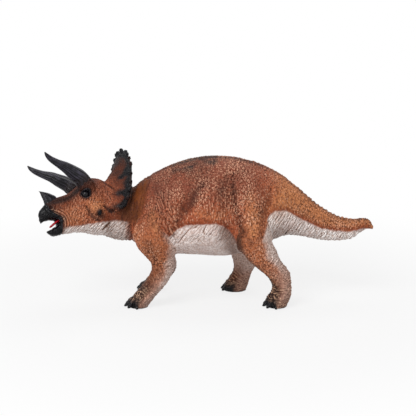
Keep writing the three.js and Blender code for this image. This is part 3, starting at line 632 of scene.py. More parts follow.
def leg_place(skin, leg):
    """Where a point lies across its leg, from -1 in front to 1 behind, and the leg's lean there."""
    x, _, z = skin.points.T
    own = skin.mask(leg) > 0
    rows = []
    for level in leg_levels:
        near = x[own & (np.abs(z - level) < level_reach)]
        if len(near):
            rows.append((level, (near.min() + near.max()) / 2, max((near.max() - near.min()) / 2, 1)))
    levels, middle, depth = np.array(rows).T
    lean = np.interp(z, levels, np.gradient(middle, levels))
    return (x - np.interp(z, levels, middle)) / np.interp(z, levels, depth), lean


def sole_middle(leg):
    mount = next(m for m in frame["record"]["mounts"] if m["name"].startswith(leg.replace("_leg", "")))
    return np.array(mount["pos_m"]) / MM


def toe_grooves(skin, leg):
    """1 along the dark grooves between the toes of a foot."""
    x, y, z = (skin.points - sole_middle(leg)).T
    reach = np.hypot(x, y)
    turn = np.arctan2(hand_of(leg) * y, -x)
    lines = sum(bell((turn - groove) * reach, 0.75) for groove in groove_turns)
    return np.clip(lines, 0, 1) * fade(3.5, 5.5, reach) * fade(9.5, 5.5, z) * skin.mask(leg)


def neck_share(skin):
    """1 on the loose smooth skin between the shield and the shoulders, on both sides of the seam."""
    x, _, z = skin.points.T
    part = skin.mask(*TORSO) if skin.is_trunk else skin.mask("head")
    return part * fade(-52, -44, x) * fade(1.5, -1.5, x - along_table(neck_fold_line, z))


def neck_folds(skin):
    """Long folds of the neck, and the finer creases that cross them."""
    x, _, z = skin.points.T
    share = neck_share(skin)
    height = skin.wrinkle(share, (0.97, -0.2), 3.0, 16.0, 0.42, 33, 0.3)
    height += skin.wrinkle(share, (0.9, 0.3), 1.2, 5.0, 0.14, 37)
    return height - 0.5 * skin.mask(*skin.nodes) * stroke(x, z, shoulder_groove, 1.3)


def neck_paint(skin):
    """Upright streaks of dusk on the neck's folds, and the ochre ground below them."""
    share = neck_share(skin)
    z = skin.points[:, 2]
    streaks = fade(0, 0.6, clouds(skin.points, (2.2, 6, 16), 70))
    return 0.5 * share * streaks * fade(46, 56, z), share * fade(47, 56, z)


def belly_rise(skin):
    """How far a point lies above the edge of the pale belly."""
    x, _, z = skin.points.T
    return z - along_table(paint_line, x)


def shape_body(skin):
    """Hollows about the shoulder and thigh, low swellings of the trunk, and the tail's hooked point."""
    x, _, z = skin.points.T
    flank = fade(0.15, 0.6, np.abs(skin.normals()[:, 1]))
    swelling = bell(clouds(skin.points, 14, 4) - 0.3, 0.4) * skin.mask(*TORSO)
    skin.press(0.2 * swelling - strokes(x, z, flank_hollows) * flank)
    skin.points[:, 0] += 1.2 * fade(98, 101.5, x) * fade(46.5, 43.5, z)


def body_scales(skin, above, rough, slow):
    """Low uneven scales over back, flanks and limbs, about 1.3 mm across, with bigger knobs among them."""
    p = skin.points
    z = p[:, 2]
    legs = skin.mask(*LEGS)
    upper = np.maximum(fade(-1, 4, above) * skin.mask(*TRUNK), legs * fade(8, 22, z))
    upper = upper * (1 - neck_share(skin))
    covered = np.maximum(0.25 + 0.75 * fade(6, 18, above), 0.45 * legs + 0.95 * tail_share(skin, above))
    covered = upper * covered * (0.85 + 0.4 * slow)
    near, second, tone = pebbles(p, (1.15, 1.4, 1.25), 21)
    height = covered * (0.4 * fade(0.03, 0.4, second - near) - 0.25) * (0.15 + 1.4 * tone ** 2)
    share = (covered + 0.45 * legs * upper) * (0.7 - 0.4 * rough)
    height += skin.wrinkle(share, (0.96, 0.28), 1.15, 3.0, 0.4, 23, 0.7)
    near, _, tone = pebbles(p, 4.4, 22, 1.0)
    knob = bell(near, 0.17) * fade(0.3, 0.75, tone)
    return height + 0.7 * knob * fade(5, 15, above) * upper * fade(30, 45, z)


def tail_share(skin, above):
    """1 on the upper side of the tail, behind its root."""
    return skin.mask("tail") * fade(48, 60, skin.points[:, 0]) * fade(0, 3, above)


def tail_rows(skin, above, rough, slow):
    """Two rows of scales that cross along the tail."""
    x, _, z = skin.points.T
    rows = folds((0.8 * x - 0.6 * z) / 1.7 + 0.4 * rough) + folds((0.45 * x + 0.9 * z) / 1.7 + 0.4 * slow)
    return 0.09 * tail_share(skin, above) * rows


def back_scutes(skin):
    """Scutes down the middle of the back, closer together on the tail."""
    x, y, _ = skin.points.T
    ridge = skin.mask(*TRUNK) * fade(0.2, 0.6, skin.normals()[:, 2])
    ridge = ridge * bell(y - 0.25 * np.sin(x / 9), 1.4) * fade(-33, -24, x)
    run = np.where(x < 30, x, 30 + (x - 30) * 1.22)
    return ridge * fade(104, 80, x) * (0.8 * np.abs(np.sin(np.pi * run / 3.0)) - 0.2)


def flank_folds(skin, above):
    """Upright wrinkles on the lower flank, and slanting folds behind the shoulder and into the elbow."""
    x, _, z = skin.points.T
    flank = fade(0.1, 0.5, np.abs(skin.normals()[:, 1]))
    share = flank * fade(0, 6, above) * fade(26, 12, above) * fade(-2, 6, x) * fade(26, 18, x)
    height = skin.wrinkle(share * skin.mask(*TRUNK), (1, 0.03), 1.3, 9.0, 0.26, 31, 0.3)
    share = stroke(x, z, elbow_path, 6.0) * flank * (1 - neck_share(skin))
    return height + skin.wrinkle(share, (0.9, 0.42), 1.7, 7.0, 0.5, 32)


def belly_folds(skin, above, rough):
    """The belly's steep slanting wrinkles, closest under the flank, and the close ones under the tail."""
    x, y, z = skin.points.T
    trunk = skin.mask(*TRUNK)
    high = fade(1, -1, above) * trunk * fade(36, 30, x) * (0.25 + 0.75 * fade(-15, -5, above))
    height = skin.wrinkle(high, (0.84, -0.54), 1.7, 8.0, 0.3, 34, 0.2)
    # A few deep ones behind the elbow.
    run = np.stack([(0.82 * x - 0.57 * z) / 3.6, (0.57 * x + 0.82 * z) / 16, y / 16], 1)
    height -= 0.4 * high * bell(clouds(run, 1.0, 35), 0.12) * fade(18, 6, x)
    under = fade(0.6, -0.8, above) * trunk * fade(34, 40, x)
    height += skin.wrinkle(under, (0.85, -0.52), 1.3, 6.0, 0.42, 36, 0.15)
    return height + 0.3 * under * fade(72, 52, x) * folds((0.85 * x - 0.52 * z) / 1.9 + 0.3 * rough)


def leg_folds(skin, leg, rough):
    """Cross wrinkles round a wrist or a shin, and the grooves between the toes."""
    x, _, z = skin.points.T
    place, lean = leg_place(skin, leg)
    if "fore" in leg:
        share = fade(17, 10, z) + 0.5 * bell(z - 27, 3.5) + 0.35 * fade(0.2, 0.7, place) * fade(44, 34, z)
    else:
        share = fade(15, 9, z) + 0.8 * fade(0.25, 0.6, place) * fade(42, 32, z) + 0.5 * fade(40, 30, z)
    share = skin.mask(leg) * np.clip(share, 0, 1) * fade(0.4, 2.0, z)
    across = np.stack([lean, np.ones(len(lean))], 1)
    height = skin.wrinkle(share, across, 1.35, 6.0, 0.3, 41 + LEGS.index(leg), 0.2)
    waver = 0.35 * rough + 0.12 * clouds(skin.points, 1.6, 52)
    height += 0.3 * share * folds((lean * x + z) / 1.5 + waver)
    return height - 0.7 * toe_grooves(skin, leg)


def detail_body(skin):
    """The scales, scutes and wrinkles of the body, and grit as fine as the mesh holds."""
    above = belly_rise(skin)
    rough = clouds(skin.points, 5, 11)
    slow = clouds(skin.points, 9, 12)
    height = body_scales(skin, above, rough, slow) + tail_rows(skin, above, rough, slow)
    height += flank_folds(skin, above) + belly_folds(skin, above, rough)
    height += back_scutes(skin) + neck_folds(skin)
    for leg in LEGS:
        height += leg_folds(skin, leg, rough)
    height += 0.06 * clouds(skin.points, 1.0, 51)
    skin.press(height * fade(0.1, 1.0, skin.points[:, 2]))


def leg_paint(skin, leg, inward, wander, speckle):
    """White, dusk and black on a leg: a pale strip behind, a pale inner side, and a dark front and toes."""
    x, _, z = skin.points.T
    place, _ = leg_place(skin, leg)
    own = skin.mask(leg)
    outer = fade(0.3, -0.3, inward)
    if "fore" in leg:
        foot_top, pale_low, pale_high = 20, 14, 22
        strip = fade(-0.2, 0.4, place - along_table(fore_strip, z) + 0.12 * speckle) * fade(50, 42, z)
        strip = strip * (0.45 + 0.45 * fade(9, 20, z))
        dusk = 0.8 * sprayed(skin.points, arm_path, 4.0, 65)
        dusk += 0.7 * fade(0.3, -0.8, place + 0.2 * wander) * fade(34, 20, z) + 0.12 * fade(28, 34, z)
    else:
        foot_top, pale_low, pale_high = 15, 11, 21
        # On the far thigh the pale strip starts further forward.
        edge = x - along_table(thigh_edge, z) + (0 if hand_of(leg) < 0 else 6 * fade(52, 40, z))
        low = fade(-0.2, 0.3, place - along_table(hind_strip, z) + 0.12 * speckle)
        strip = fade(-0.9, 1.2, edge + 0.5 * wander) * fade(40, 44, z) + low * fade(44, 40, z)
        strip = np.clip(strip, 0, 1) * (0.1 + 0.85 * fade(16, 32, z))
        dusk = 0.95 * fade(-0.45, -0.9, place) * fade(56, 44, z) * outer
        dusk += 0.8 * bell(z - 12, 6) * fade(0.3, -0.5, place) * (0.4 + 0.6 * outer)
        dusk += 0.15 * fade(30, 18, z)
    inner = (1 - outer) * fade(pale_low, pale_high, z + 3 * wander) * fade(0.0, 0.3, inward)
    white = np.clip(strip + inner + 0.3 * fade(30, 14, z) * fade(-0.7, 0.2, place), 0, 1)
    foot = fade(foot_top, 5, z + 2 * wander) * (0.35 + 0.65 * fade(0.3, -0.3, place + 0.2 * wander))
    dusk += np.clip(foot * (0.75 + 0.25 * outer), 0, 1) + 0.8 * toe_grooves(skin, leg)
    night = np.maximum(fade(8.5, 3.0, z + wander) * fade(0.25, -0.3, place), 0.7 * fade(1.6, 0.4, z))
    return own * white, own * dusk, own * night


def trunk_dusk(skin, above, lean, speckle):
    """The dark colour of the trunk: painted shade in the folds about thigh and shoulder and on the belly
    before the knee, sprayed streaks and spots, the back's ridge and the root of the tail.
    """
    p = skin.points
    x, y, z = p.T
    trunk = skin.mask(*TRUNK)
    upper = fade(0, 6, above) * trunk + skin.mask(*LEGS) * fade(25, 40, z)
    facing = fade(0.05, 0.4, np.abs(lean[:, 1]))
    regions = {"side": facing, "flank": facing * trunk, "upper": upper, "all": 1}
    # Painted shade on the belly before the knee.
    dusk = 0.8 * trunk * stroke(x, z, belly_shade_path, 6.5) * fade(1, -1, above)
    # Dark streaks, most of them painted shade in the folds about thigh and shoulder.
    for strength, width, seed, region, path in dark_streaks:
        dusk += strength * sprayed(p, path, width, seed) * regions[region]
    spots = fade(0.1, 0.75, clouds(p, (5, 7, 8), 64))
    dusk += 0.3 * spots * upper * fade(6, 20, above) * fade(44, 26, x)
    ridge = bell(y, 3.0) * fade(0.2, 0.7, lean[:, 2]) * fade(-34, -22, x) * trunk
    dusk += ridge * (0.8 + 0.4 * speckle)
    return dusk + 0.45 * trunk * fade(1.5, -2.5, above) * fade(36, 41, x) * fade(60, 47, x) * fade(52, 45, z)


def paint_body(skin):
    """The paint of trunk, tail and legs, as shares of each layer."""
    p = skin.points
    x, y, z = p.T
    lean = np.stack([skin.softened(n, 4) for n in skin.normals().T], axis=1)
    trunk = skin.mask(*TRUNK)
    legs = skin.mask(*LEGS)
    wander = clouds(p, 6, 61)
    speckle = clouds(p, 1.8, 62)
    above = belly_rise(skin) + 0.35 * speckle
    neck = neck_share(skin)
    streaks, ochre = neck_paint(skin)
    white = fade(0.9, -0.6 - 4 * bell(x - 20, 6), above) * trunk * (1 - 0.75 * neck)
    white = np.maximum(white, throat_fade(x) * fade(53, 50.5, z) * trunk)
    dusk = trunk_dusk(skin, above, lean, speckle) + streaks
    night = np.zeros(len(x))
    for leg in LEGS:
        leg_white, leg_dusk, leg_night = leg_paint(skin, leg, -np.sign(y) * lean[:, 1], wander, speckle)
        white += leg_white
        dusk += leg_dusk
        night += leg_night
    rust = bell(above - 1.4, 1.8) * trunk * (1 - neck) * fade(-17, -11, x)
    rust *= (1.0 - 0.35 * fade(34, 44, x)) * (1 - 0.5 * bell(x - 20, 5))
    rust += 0.6 * stroke(x, z, rust_path, 2.4) + 0.15 * neck * fade(56, 44, z)
    tan = 0.9 * fade(38, 52, x) * fade(0, 5, above) * trunk + 0.55 * bell(z - 60, 8) * bell(x - 47, 9)
    tan += 0.4 * legs * fade(62, 42, z) + 0.7 * strokes(x, z, flank_glows)
    back = 0.85 * fade(56, 78, z + 5 * wander) * fade(50, 24, x) + 0.35 * fade(-14, -24, x) * fade(46, 54, z)
    cream = legs * fade(26, 8, z + 2 * wander)
    brush = (0.3 + 0.7 * fade(-0.6, 0.5, clouds(p, 7, 71))) * (1 - 0.55 * np.clip(dusk, 0, 1))
    brush = np.maximum(brush * (1 - 0.6 * fade(-12, -22, x) * fade(50, 58, z)), 0.85 * cream)
    brush *= (1 - 0.9 * neck) * (1 - 0.75 * white * fade(40, 30, x))
    skin.lay_paint(white=white, dusk=0.9 * dusk, night=night, rust=0.9 * rust, tan=tan, ochre=ochre,
                   back=back, cream=cream, brush=brush)


def throat_fade(x):
    """The pale throat runs out softly on both sides of the seam."""
    return 0.95 * fade(-40.5, -46.5, x)


# The rear edge of the black beak and lips, as (c, a).
beak_edge = [
    (-24, -17), (-19.7, -16.6), (-17.6, -16.4), (-15.4, -16.2), (-13.4, -15.8), (-11.5, -16.2),
    (-9.6, -17.9), (-7.8, -20.1), (-5.7, -21.7), (-3.5, -22.5), (-0.9, -23.2), (3, -24),
]
# The edge between the cheek and the pale throat, as (a, c).
throat_line = [
    (-30, -19), (-17, -18), (-8.8, -17.7), (-3.2, -18), (2, -18.5), (6.4, -18.3), (10, -18.1), (19.2, -20.7),
    (30, -24),
]
# Half of the shield's rim, from the crown down to the lobe: (a, |b|, c).
shield_rim = [
    (31.2, 0, 26.4), (31.3, 4.2, 25.9), (31.4, 8.5, 23.7), (30.6, 12.7, 19.7), (28.7, 16.9, 13.6),
    (25.8, 20.3, 4.0), (22.1, 22.0, -3.7), (19.0, 21.9, -10), (15.7, 20.3, -13), (12.9, 17.9, -10.8),
]
rim_steps = 39
# Knobs on the rim: side, place along that half of it from the crown, radius.
rim_knobs = [
    (-1, 0.07, 1.4), (-1, 0.22, 1.25), (1, 0.085, 1.35), (1, 0.145, 1.35), (1, 0.24, 1.4), (1, 0.32, 1.1),
    *[(hand, 0.36 + 0.075 * k, 1.05) for hand in (-1, 1) for k in range(8)], (-1, 0.28, 1.05),
]
# How far a knob stands out past the rim, and how much fuller it is cast.
knob_rise = 0.45
knob_swell = 0.12
# Places in the head's axes, the paired ones as (a, |b|, c).
shield_middle = np.array([21.0, 0.0, 4.0])
brow_horn_seat = (-0.51, 8.5, 8.3)
nose_horn_seat = (-19.0, 0.0, -1.0)
snout_middle = (-20.0, 0.0, -1.8)
nostril = (-21.3, 3.9, -4.6)
tongue_root = (-15.1, 0.0, -12.65)
eye_seat = (0.0, 8.25, 0.0)
jugal_tip = (4.9, 14.6, -13.8)
mouth_corner = (-22.5, -15)
# Creases and lines of the face, as (a, c).
cheek_crease = [(-1.3, -7.5), (-0.3, -12), (1.5, -15), (4.5, -17)]
shield_notch = [(9.0, -9.0), (10.8, -11.0), (12.6, -13.4)]
brow_crease = [(13.0, 7.6), (14.7, 5.8), (16.3, 2.8), (17.2, 0.6)]
snout_line = [(-18.5, -1.2), (-13.7, -1.0), (-10, -0.5), (-6.6, 1.1), (-3.5, 3.4)]
lip_roll = [(-20.6, -8.4), (-18.3, -10.4), (-16.9, -12.6), (-16.8, -18.5)]
lip_groove = [(-20.0, -7.0), (-17.4, -9.2), (-15.6, -12.0), (-15.7, -19)]
# The slit in the throat, as (x, z).
throat_slit = [(-53.4, 51.4), (-55.4, 49.3), (-57.8, 47.0)]
# Round marks of the face: strength, reach and middle. First the brow's swelling and the muzzle's hollow, then
# the dusk of snout, horn roots and cheek point, and the tan of cheek, lip and eye pouch.
face_forms = [(0.5, 4.0, (1.5, 11, 6.0)), (-0.5, 3.5, (-9, 6.5, -3.5))]
face_shades = [
    (0.95, 9.0, snout_middle), (1.1, 7.6, brow_horn_seat),
    (0.5, 3.0, (6.5, 13, -16)), (0.5, 2.6, (4.6, 14, -14.5)),
]
face_tans = [(0.9, 4.6, (3.6, 12.5, -9.5)), (0.5, 6, (-9, 6, -12)), (0.2, 7, (2, 8, -4))]
# The middle of the cheek's swelling, as (a, c).
cheek_middle = (4.4, -10.5)
# Black marks on the shield: reach, and path as (a, c).
shield_marks = [
    (1.0, [(26.8, 10.4), (25.7, 9.3), (24.4, 8.3), (23.0, 6.9)]),
    (1.9, [(19.6, -3.0), (20.3, -3.5), (21.5, -4.5)]),
    (1.85, [(15.2, -11.6), (16.4, -11.4), (17.8, -10.9)]),
]
# How wide the black band inside the rim is, from the crown to the lobe: (place, width).
rim_band = [(0, 3.6), (0.2, 4.0), (0.35, 4.0), (0.5, 5.2), (0.6, 6.2), (0.75, 5.0), (0.9, 3.0)]


def gap_to(local, place):
    """Distance to a place that is the same on both sides of the head."""
    a, b, c = local.T
    return np.sqrt((a - place[0]) ** 2 + (np.abs(b) - place[1]) ** 2 + (c - place[2]) ** 2)


def round_marks(local, table):
    """Round marks laid over each other, from rows of strength, reach and middle."""
    return sum(strength * bell(gap_to(local, middle), reach) for strength, reach, middle in table)


def side_gap(local, place):
    """Distance to a place, as the head is seen from its side."""
    return np.hypot(local[:, 0] - place[0], local[:, 2] - place[-1])


def rim_gap(local):
    """Distance to the shield's rim, and how far along it the nearest place is."""
    q = local.copy()
    q[:, 1] = np.abs(q[:, 1])
    rim = smooth_line(shield_rim, rim_steps + 1)
    best = np.full(len(q), 1e9)
    share = np.zeros(len(q))
    for i, (start, end) in enumerate(zip(rim[:-1], rim[1:])):
        way = end - start
        t = np.clip((q - start) @ way / (way @ way), 0, 1)
        gap = np.linalg.norm(q - start - t[:, None] * way, axis=1)
        nearer = gap < best
        best = np.where(nearer, gap, best)
        share = np.where(nearer, (i + t) / rim_steps, share)
    return best, share


def rim_place(share, hand):
    """A place on one half of the shield's rim, hand being -1 for its left half."""
    rim = smooth_line(shield_rim, rim_steps + 1)
    place = np.array([np.interp(share * rim_steps, np.arange(rim_steps + 1), rim[:, k]) for k in range(3)])
    return place * [1, hand, 1]


def knob_middle(knob):
    """The middle of a knob, which stands a little way in from the rim."""
    hand, share, radius = knob
    place = rim_place(share, hand)
    out = place - shield_middle
    return place - out / np.linalg.norm(out) * (radius - knob_rise)


def sink_rim(skin):
    """Sinks the crown of the rim, so that its knobs stand free."""
    local = head_axes(skin.points)
    out = local - shield_middle
    out /= np.linalg.norm(out, axis=1)[:, None]
    gap, run = rim_gap(local)
    free = np.ones(len(local))
    for knob in rim_knobs:
        free *= fade(knob[2], knob[2] + 0.7, np.linalg.norm(local - knob_middle(knob), axis=1))
    depth = skin.mask("frill") * free * fade(3.5, 0.8, gap) * (0.35 + 1.05 * fade(0.42, 0.32, run))
    skin.points = from_head(local - out * depth[:, None])


def knob_share(skin, local):
    """1 on the knobs of the crown, and less on those further down the rim."""
    share = np.zeros(len(local))
    for knob in rim_knobs:
        reach = np.linalg.norm(local - knob_middle(knob), axis=1)
        share = np.maximum(share, fade(knob[2] + 0.6, knob[2], reach) * (0.95 if knob[1] < 0.3 else 0.3))
    return share * skin.mask("frill")


def shape_head(skin):
    """Brow, cheek and muzzle forms, and the shallow notch in front of the shield."""
    local = head_axes(skin.points)
    a, b, c = local.T
    face = skin.mask("head")
    side = fade(2.5, 5, np.abs(b))
    height = -0.45 * face * side * stroke(a, c, cheek_crease, 1.6)
    height -= 0.7 * side * stroke(a, c, shield_notch, 1.5)
    height -= 0.6 * side * stroke(a, c, brow_crease, 0.8)
    height += 0.9 * face * side * bell(side_gap(local, cheek_middle), 3.4)
    height += face * round_marks(local, face_forms)
    height -= 0.35 * face * stroke(a, c, snout_line, 0.9)
    skin.press(height)


def eye_lids(skin, local):
    """Close lids round the eye, and a soft pouch under them."""
    around = side_gap(local, eye_seat)
    lids = 0.4 * bell(around - 2.35, 0.42) - 0.22 * bell(around - 3.2, 0.35) + 0.12 * bell(around - 4.6, 1.0)
    return lids * fade(5.5, 7.5, np.abs(local[:, 1])) * skin.mask("head")


def lips_and_nose(local, side):
    """The rolled edge of the lips, and the nostril with the raised ring about it."""
    a, _, c = local.T
    height = 0.35 * side * (stroke(a, c, lip_roll, 0.6) - stroke(a, c, lip_groove, 0.45))
    nose = gap_to(local, nostril)
    return height + 0.3 * bell(nose - 1.5, 0.5) - 0.8 * bell(nose, 0.7)


def face_wrinkles(skin, local, side, skull, above, calm):
    """Upright wrinkles over the cheek, and those where it runs out into the shield."""
    a, _, c = local.T
    share = side * skull * fade(-1, 2, above) * fade(11, 7, a) * calm
    height = wrinkled_by(skin, share, 0.94 * a - 0.34 * c, 1.15, 0.3, 76)
    share = side * bell(a - 12, 3.8) * bell(c + 3.5, 7.0) * (1 - neck_share(skin))
    return height + wrinkled_by(skin, share, a - 0.12 * c, 1.4, 0.42, 77)


def face_pebbles(skin, local, skull, above, calm):
    """Small pebbles over the face and the shield, with larger ones among them."""
    frill = skin.mask("frill")
    near, second, tone = pebbles(skin.points, 1.15, 72)
    share = fade(-1, 3, above) * (skull * 0.7 * calm + frill)
    height = 0.26 * share * (fade(0.05, 0.42, second - near) - 0.6) * (0.3 + 1.1 * tone)
    near, _, tone = pebbles(skin.points, 3.0, 73, 1.0)
    share = frill + 0.5 * skull * fade(-2, 4, local[:, 2])
    return height + 0.35 * share * bell(near, 0.2) * fade(0.3, 0.7, tone)


def rim_relief(skin, local):
    """A groove inside the rim's knobs, so that they stand out, and small beads along the rim."""
    gap, run = rim_gap(local)
    beads = fade(2.0, 1.2, gap) * (np.abs(np.sin(np.pi * run * 34)) - 0.55) * fade(0.3, 0.4, run)
    return 0.25 * skin.mask("frill") * (beads - bell(gap - 2.4, 0.5))


def beak_relief(skin, local, black):
    """Long fine grooves on the beak, and pebbles on it beside the lip."""
    height = skin.wrinkle(black, (0.35, 0.94), 1.3, 6.0, 0.2, 79, 0.3)
    near, _, _ = pebbles(skin.points, 1.9, 85)
    beside = bell(local[:, 0] - along_table(beak_edge, local[:, 2]) + 1.5, 2.2)
    return height + 0.3 * black * beside * (bell(near, 0.35) - 0.4)


def detail_head(skin):
    """The lids, lips, wrinkles and pebbles of the head and the shield, and fine grit."""
    p = skin.points
    local = head_axes(p)
    side = fade(2.0, 4.0, np.abs(local[:, 1]))
    face = skin.mask("head")
    black = beak_share(skin, local)
    above = throat_rise(local, p)
    skull = face * (1 - black) * (1 - neck_share(skin))
    lips = lip_share(skin, local, above)
    calm = 1 - 0.85 * lips
    height = neck_folds(skin) + eye_lids(skin, local) + lips_and_nose(local, side)
    # The wrinkles behind the corner of the mouth are closest at the lip.
    height += 0.5 * lips * folds(side_gap(local, mouth_corner) / 1.65 + 0.25 * clouds(p, 3.5, 75))
    height += face_wrinkles(skin, local, side, skull, above, calm)
    height += face_pebbles(skin, local, skull, above, calm) + rim_relief(skin, local)
    # Wrinkles of the pale throat, and the slit in front of the neck.
    pale = fade(1, -1, above) * (1 - black) * face
    height += skin.wrinkle(pale, (0.74, -0.67), 1.35, 8.0, 0.42, 78, 0.2)
    height -= 0.8 * side * stroke(p[:, 0], p[:, 2], throat_slit, 0.55) * fade(2, -2, p[:, 1])
    height += beak_relief(skin, local, black) + 0.04 * clouds(p, 0.8, 74)
    skin.press(height)


def wrinkled_by(skin, share, run, period, depth, seed):
    """Broken fine wrinkles across the way in which the run grows."""
    spots = np.nonzero(share > 0.02)[0]
    p = skin.points[spots]
    drift = 0.35 * clouds(p, 4 * period, seed)
    long = 4 * period
    q = np.stack([run[spots] / period + drift, p[:, 2] / long + drift, p[:, 1] / long], axis=1)
    near, second, tone = pebbles(q, 1.0, seed + 1, 0.95)
    height = np.zeros(len(share))
    height[spots] = depth * share[spots] * (fade(0.02, 0.4, second - near) - 0.6) * (0.6 + 0.7 * tone)
    return height


def throat_rise(local, points):
    """How far a point lies above the edge of the pale throat."""
    x, _, z = points.T
    seam = fade(-60, -50, x)
    return (1 - seam) * (local[:, 2] - along_table(throat_line, local[:, 0])) + seam * (z - 52)


def lip_share(skin, local, above):
    """1 on the deep wrinkles behind the corner of the mouth."""
    a, b, c = local.T
    lip = side_gap(local, mouth_corner)
    share = fade(5.0, 6.5, lip) * fade(14.5, 9, lip) * fade(-5, -7.5, c + 0.25 * (a + 16))
    share *= fade(-1, 1, above) * fade(2.0, 4.0, np.abs(b))
    return share * skin.mask("head") * (1 - beak_share(skin, local))


def beak_share(skin, local):
    """1 on the black beak and lips."""
    black = fade(0.3, -0.3, local[:, 0] - along_table(beak_edge, local[:, 2]))
    return np.maximum(black, skin.mask("lower_jaw"))


def head_night(skin, local, black, wander, speckle):
    """Black paint on the beak, the cheek's point, the brow, round the eye, and on the shield's edge."""
    a, b, c = local.T
    face = skin.mask("head")
    frill = skin.mask("frill")
    gap, run = rim_gap(local)
    night = black + 1.6 * bell(gap_to(local, jugal_tip), 2.8)
    night += 0.95 * face * bell(gap_to(local, brow_horn_seat), 6.9)
    night += 0.9 * fade(3.2, 2.5, side_gap(local, eye_seat)) * fade(6, 7.5, np.abs(b)) * face
    band = along_table(rim_band, run) + 0.9 * wander
    rim = np.maximum(fade(0.7, 1.5, gap), 0.75 * fade(0.4, 0.5, run) * fade(0.72, 0.62, run))
    night += frill * fade(band + 2.0, band - 2.4, gap + 0.5 * speckle) * rim * fade(0.93, 0.84, run)
    for reach, marks in shield_marks:
        near = path_gap(a + 0.6 * wander, c + 0.4 * speckle, marks)[0] / (reach + 0.3 * wander)
        night += frill * fade(2.5, 0.2, near) * fade(1.0, 3.0, np.abs(b))
    return np.maximum(night, knob_share(skin, local)) + 0.7 * frill * fade(13, 23, c + 2 * wander)


def head_dusk(skin, local, shield, wander):
    """The dark colour of the head: spray on shield, snout, brow and edge of the beak, and painted shade in
    the creases of the face.
    """
    a, b, c = local.T
    x, y, z = skin.points.T
    face = skin.mask("head")
    side = fade(1.0, 3.0, np.abs(b))
    dusk = shield * (0.74 + 0.25 * fade(2, 16, c) + 0.2 * wander)
    dusk += 0.4 * skin.mask("frill") * fade(2.2, 0.8, rim_gap(local)[0])
    dusk += 0.7 * face * stroke(a, c, snout_line, 2.4) * fade(8, 6, np.abs(b))
    dusk += 0.7 * face * fade(3.2, -0.2, a - along_table(beak_edge, c) + wander)
    dusk += face * (0.16 + 0.2 * fade(4, 9, c) + 0.35 * fade(-58, -50, x))
    dusk += face * round_marks(local, face_shades)
    # Painted shade in the notch before the shield, in the creases of brow and cheek, and in the throat's
    # slit.
    dusk += 0.9 * side * stroke(a, c, shield_notch, 1.3)
    dusk += 0.5 * side * stroke(a, c, brow_crease, 0.7)
    dusk += 0.7 * side * face * stroke(a, c, cheek_crease, 1.3)
    return dusk + 0.9 * side * stroke(x, z, throat_slit, 0.8) * fade(2, -2, y)


def paint_head(skin):
    """The paint of skull, shield and lower jaw, as shares of each layer."""
    p = skin.points
    x = p[:, 0]
    local = head_axes(p)
    a, _, c = local.T
    face = skin.mask("head")
    wander = clouds(p, 3.5, 81)
    speckle = clouds(p, 1.6, 82)
    black = beak_share(skin, local)
    above = throat_rise(local, p)
    lips = lip_share(skin, local, above)
    streaks, ochre = neck_paint(skin)
    shield = fade(10.5, 21, a - 0.15 * c) * np.maximum(face * fade(-50, -58, x), skin.mask("frill"))
    white = fade(0.9, -0.7, above + 0.4 * speckle) * face * (1 - black) * throat_fade(x + speckle)
    dusk = head_dusk(skin, local, shield, wander) + streaks
    rust = bell(above - 1.8, 2.2) * face * bell(x + 51, 8) * (1 - black) + 0.4 * shield
    tan = face * round_marks(local, face_tans)
    brush = 0.38 + 0.42 * fade(-0.6, 0.5, clouds(p, 6, 71))
    brush *= (1 - 0.9 * neck_share(skin)) * (1 - 0.6 * shield)
    brush *= (1 - 0.85 * face * bell(gap_to(local, snout_middle), 9.0)) * (1 - 0.7 * np.clip(dusk, 0, 1))
    brush *= 1 - 0.9 * face * bell(gap_to(local, brow_horn_seat), 9.0)
    # The pale throat, which faces down into shade, takes the full lightening of the pale coat: painted light.
    brush = np.maximum(np.maximum(brush, white), 0.6 * lips)
    skin.lay_paint(white=white, dusk=0.9 * dusk, night=head_night(skin, local, black, wander, speckle),
                   rust=0.9 * rust, tan=tan, ochre=ochre, back=0.5 * face * fade(-6, 4, c), brush=brush,
                   cream=0.5 * lips)


# Rows for a brow horn: [forward, out, up, thickness], as shares of its length and width.
brow_horn_rows = [
    [-0.04, 0.005, -0.06, 0.98], [0, 0.02, 0, 1], [0.068, 0.045, 0.083, 0.95], [0.211, 0.08, 0.189, 0.83],
    [0.345, 0.115, 0.286, 0.66], [0.5, 0.16, 0.369, 0.48], [0.637, 0.195, 0.457, 0.36],
    [0.712, 0.222, 0.531, 0.25], [0.752, 0.24, 0.593, 0.08],
]
brow_horn_length = 30.0
brow_horn_width = 9.2
# How many rings a piece has along its length, and how many points are in each.
brow_horn_rings = (150, 96)
# Rows for the nose horn: [forward, up, long, thick], as shares of its own sizes.
nose_horn_rows = [
    [-0.02, -0.12, 1.04, 1.05], [0, 0, 1, 1], [0.03, 0.225, 1, 0.95], [0.088, 0.425, 0.98, 0.85],
    [0.238, 0.6, 0.79, 0.68], [0.394, 0.75, 0.56, 0.5], [0.588, 0.875, 0.26, 0.3], [0.763, 0.963, 0.05, 0.06],
]
nose_horn_length = 8.0
nose_horn_width = 8.4
nose_horn_thickness = 5.0
nose_horn_rings = (70, 64)
# Rows for the tongue: [forward, up, width].
tongue_rows = [
    [0, 0, 0.5], [0.22, 0.02, 0.85], [0.46, -0.07, 1], [0.68, -0.2, 0.92], [0.85, -0.3, 0.62],
    [0.92, -0.33, 0.18],
]
tongue_length = 8.5
tongue_width = 4.6
tongue_thickness = 1.5
tongue_rings = (50, 36)
eye_radius = 2.12
eye_rings = (25, 40)
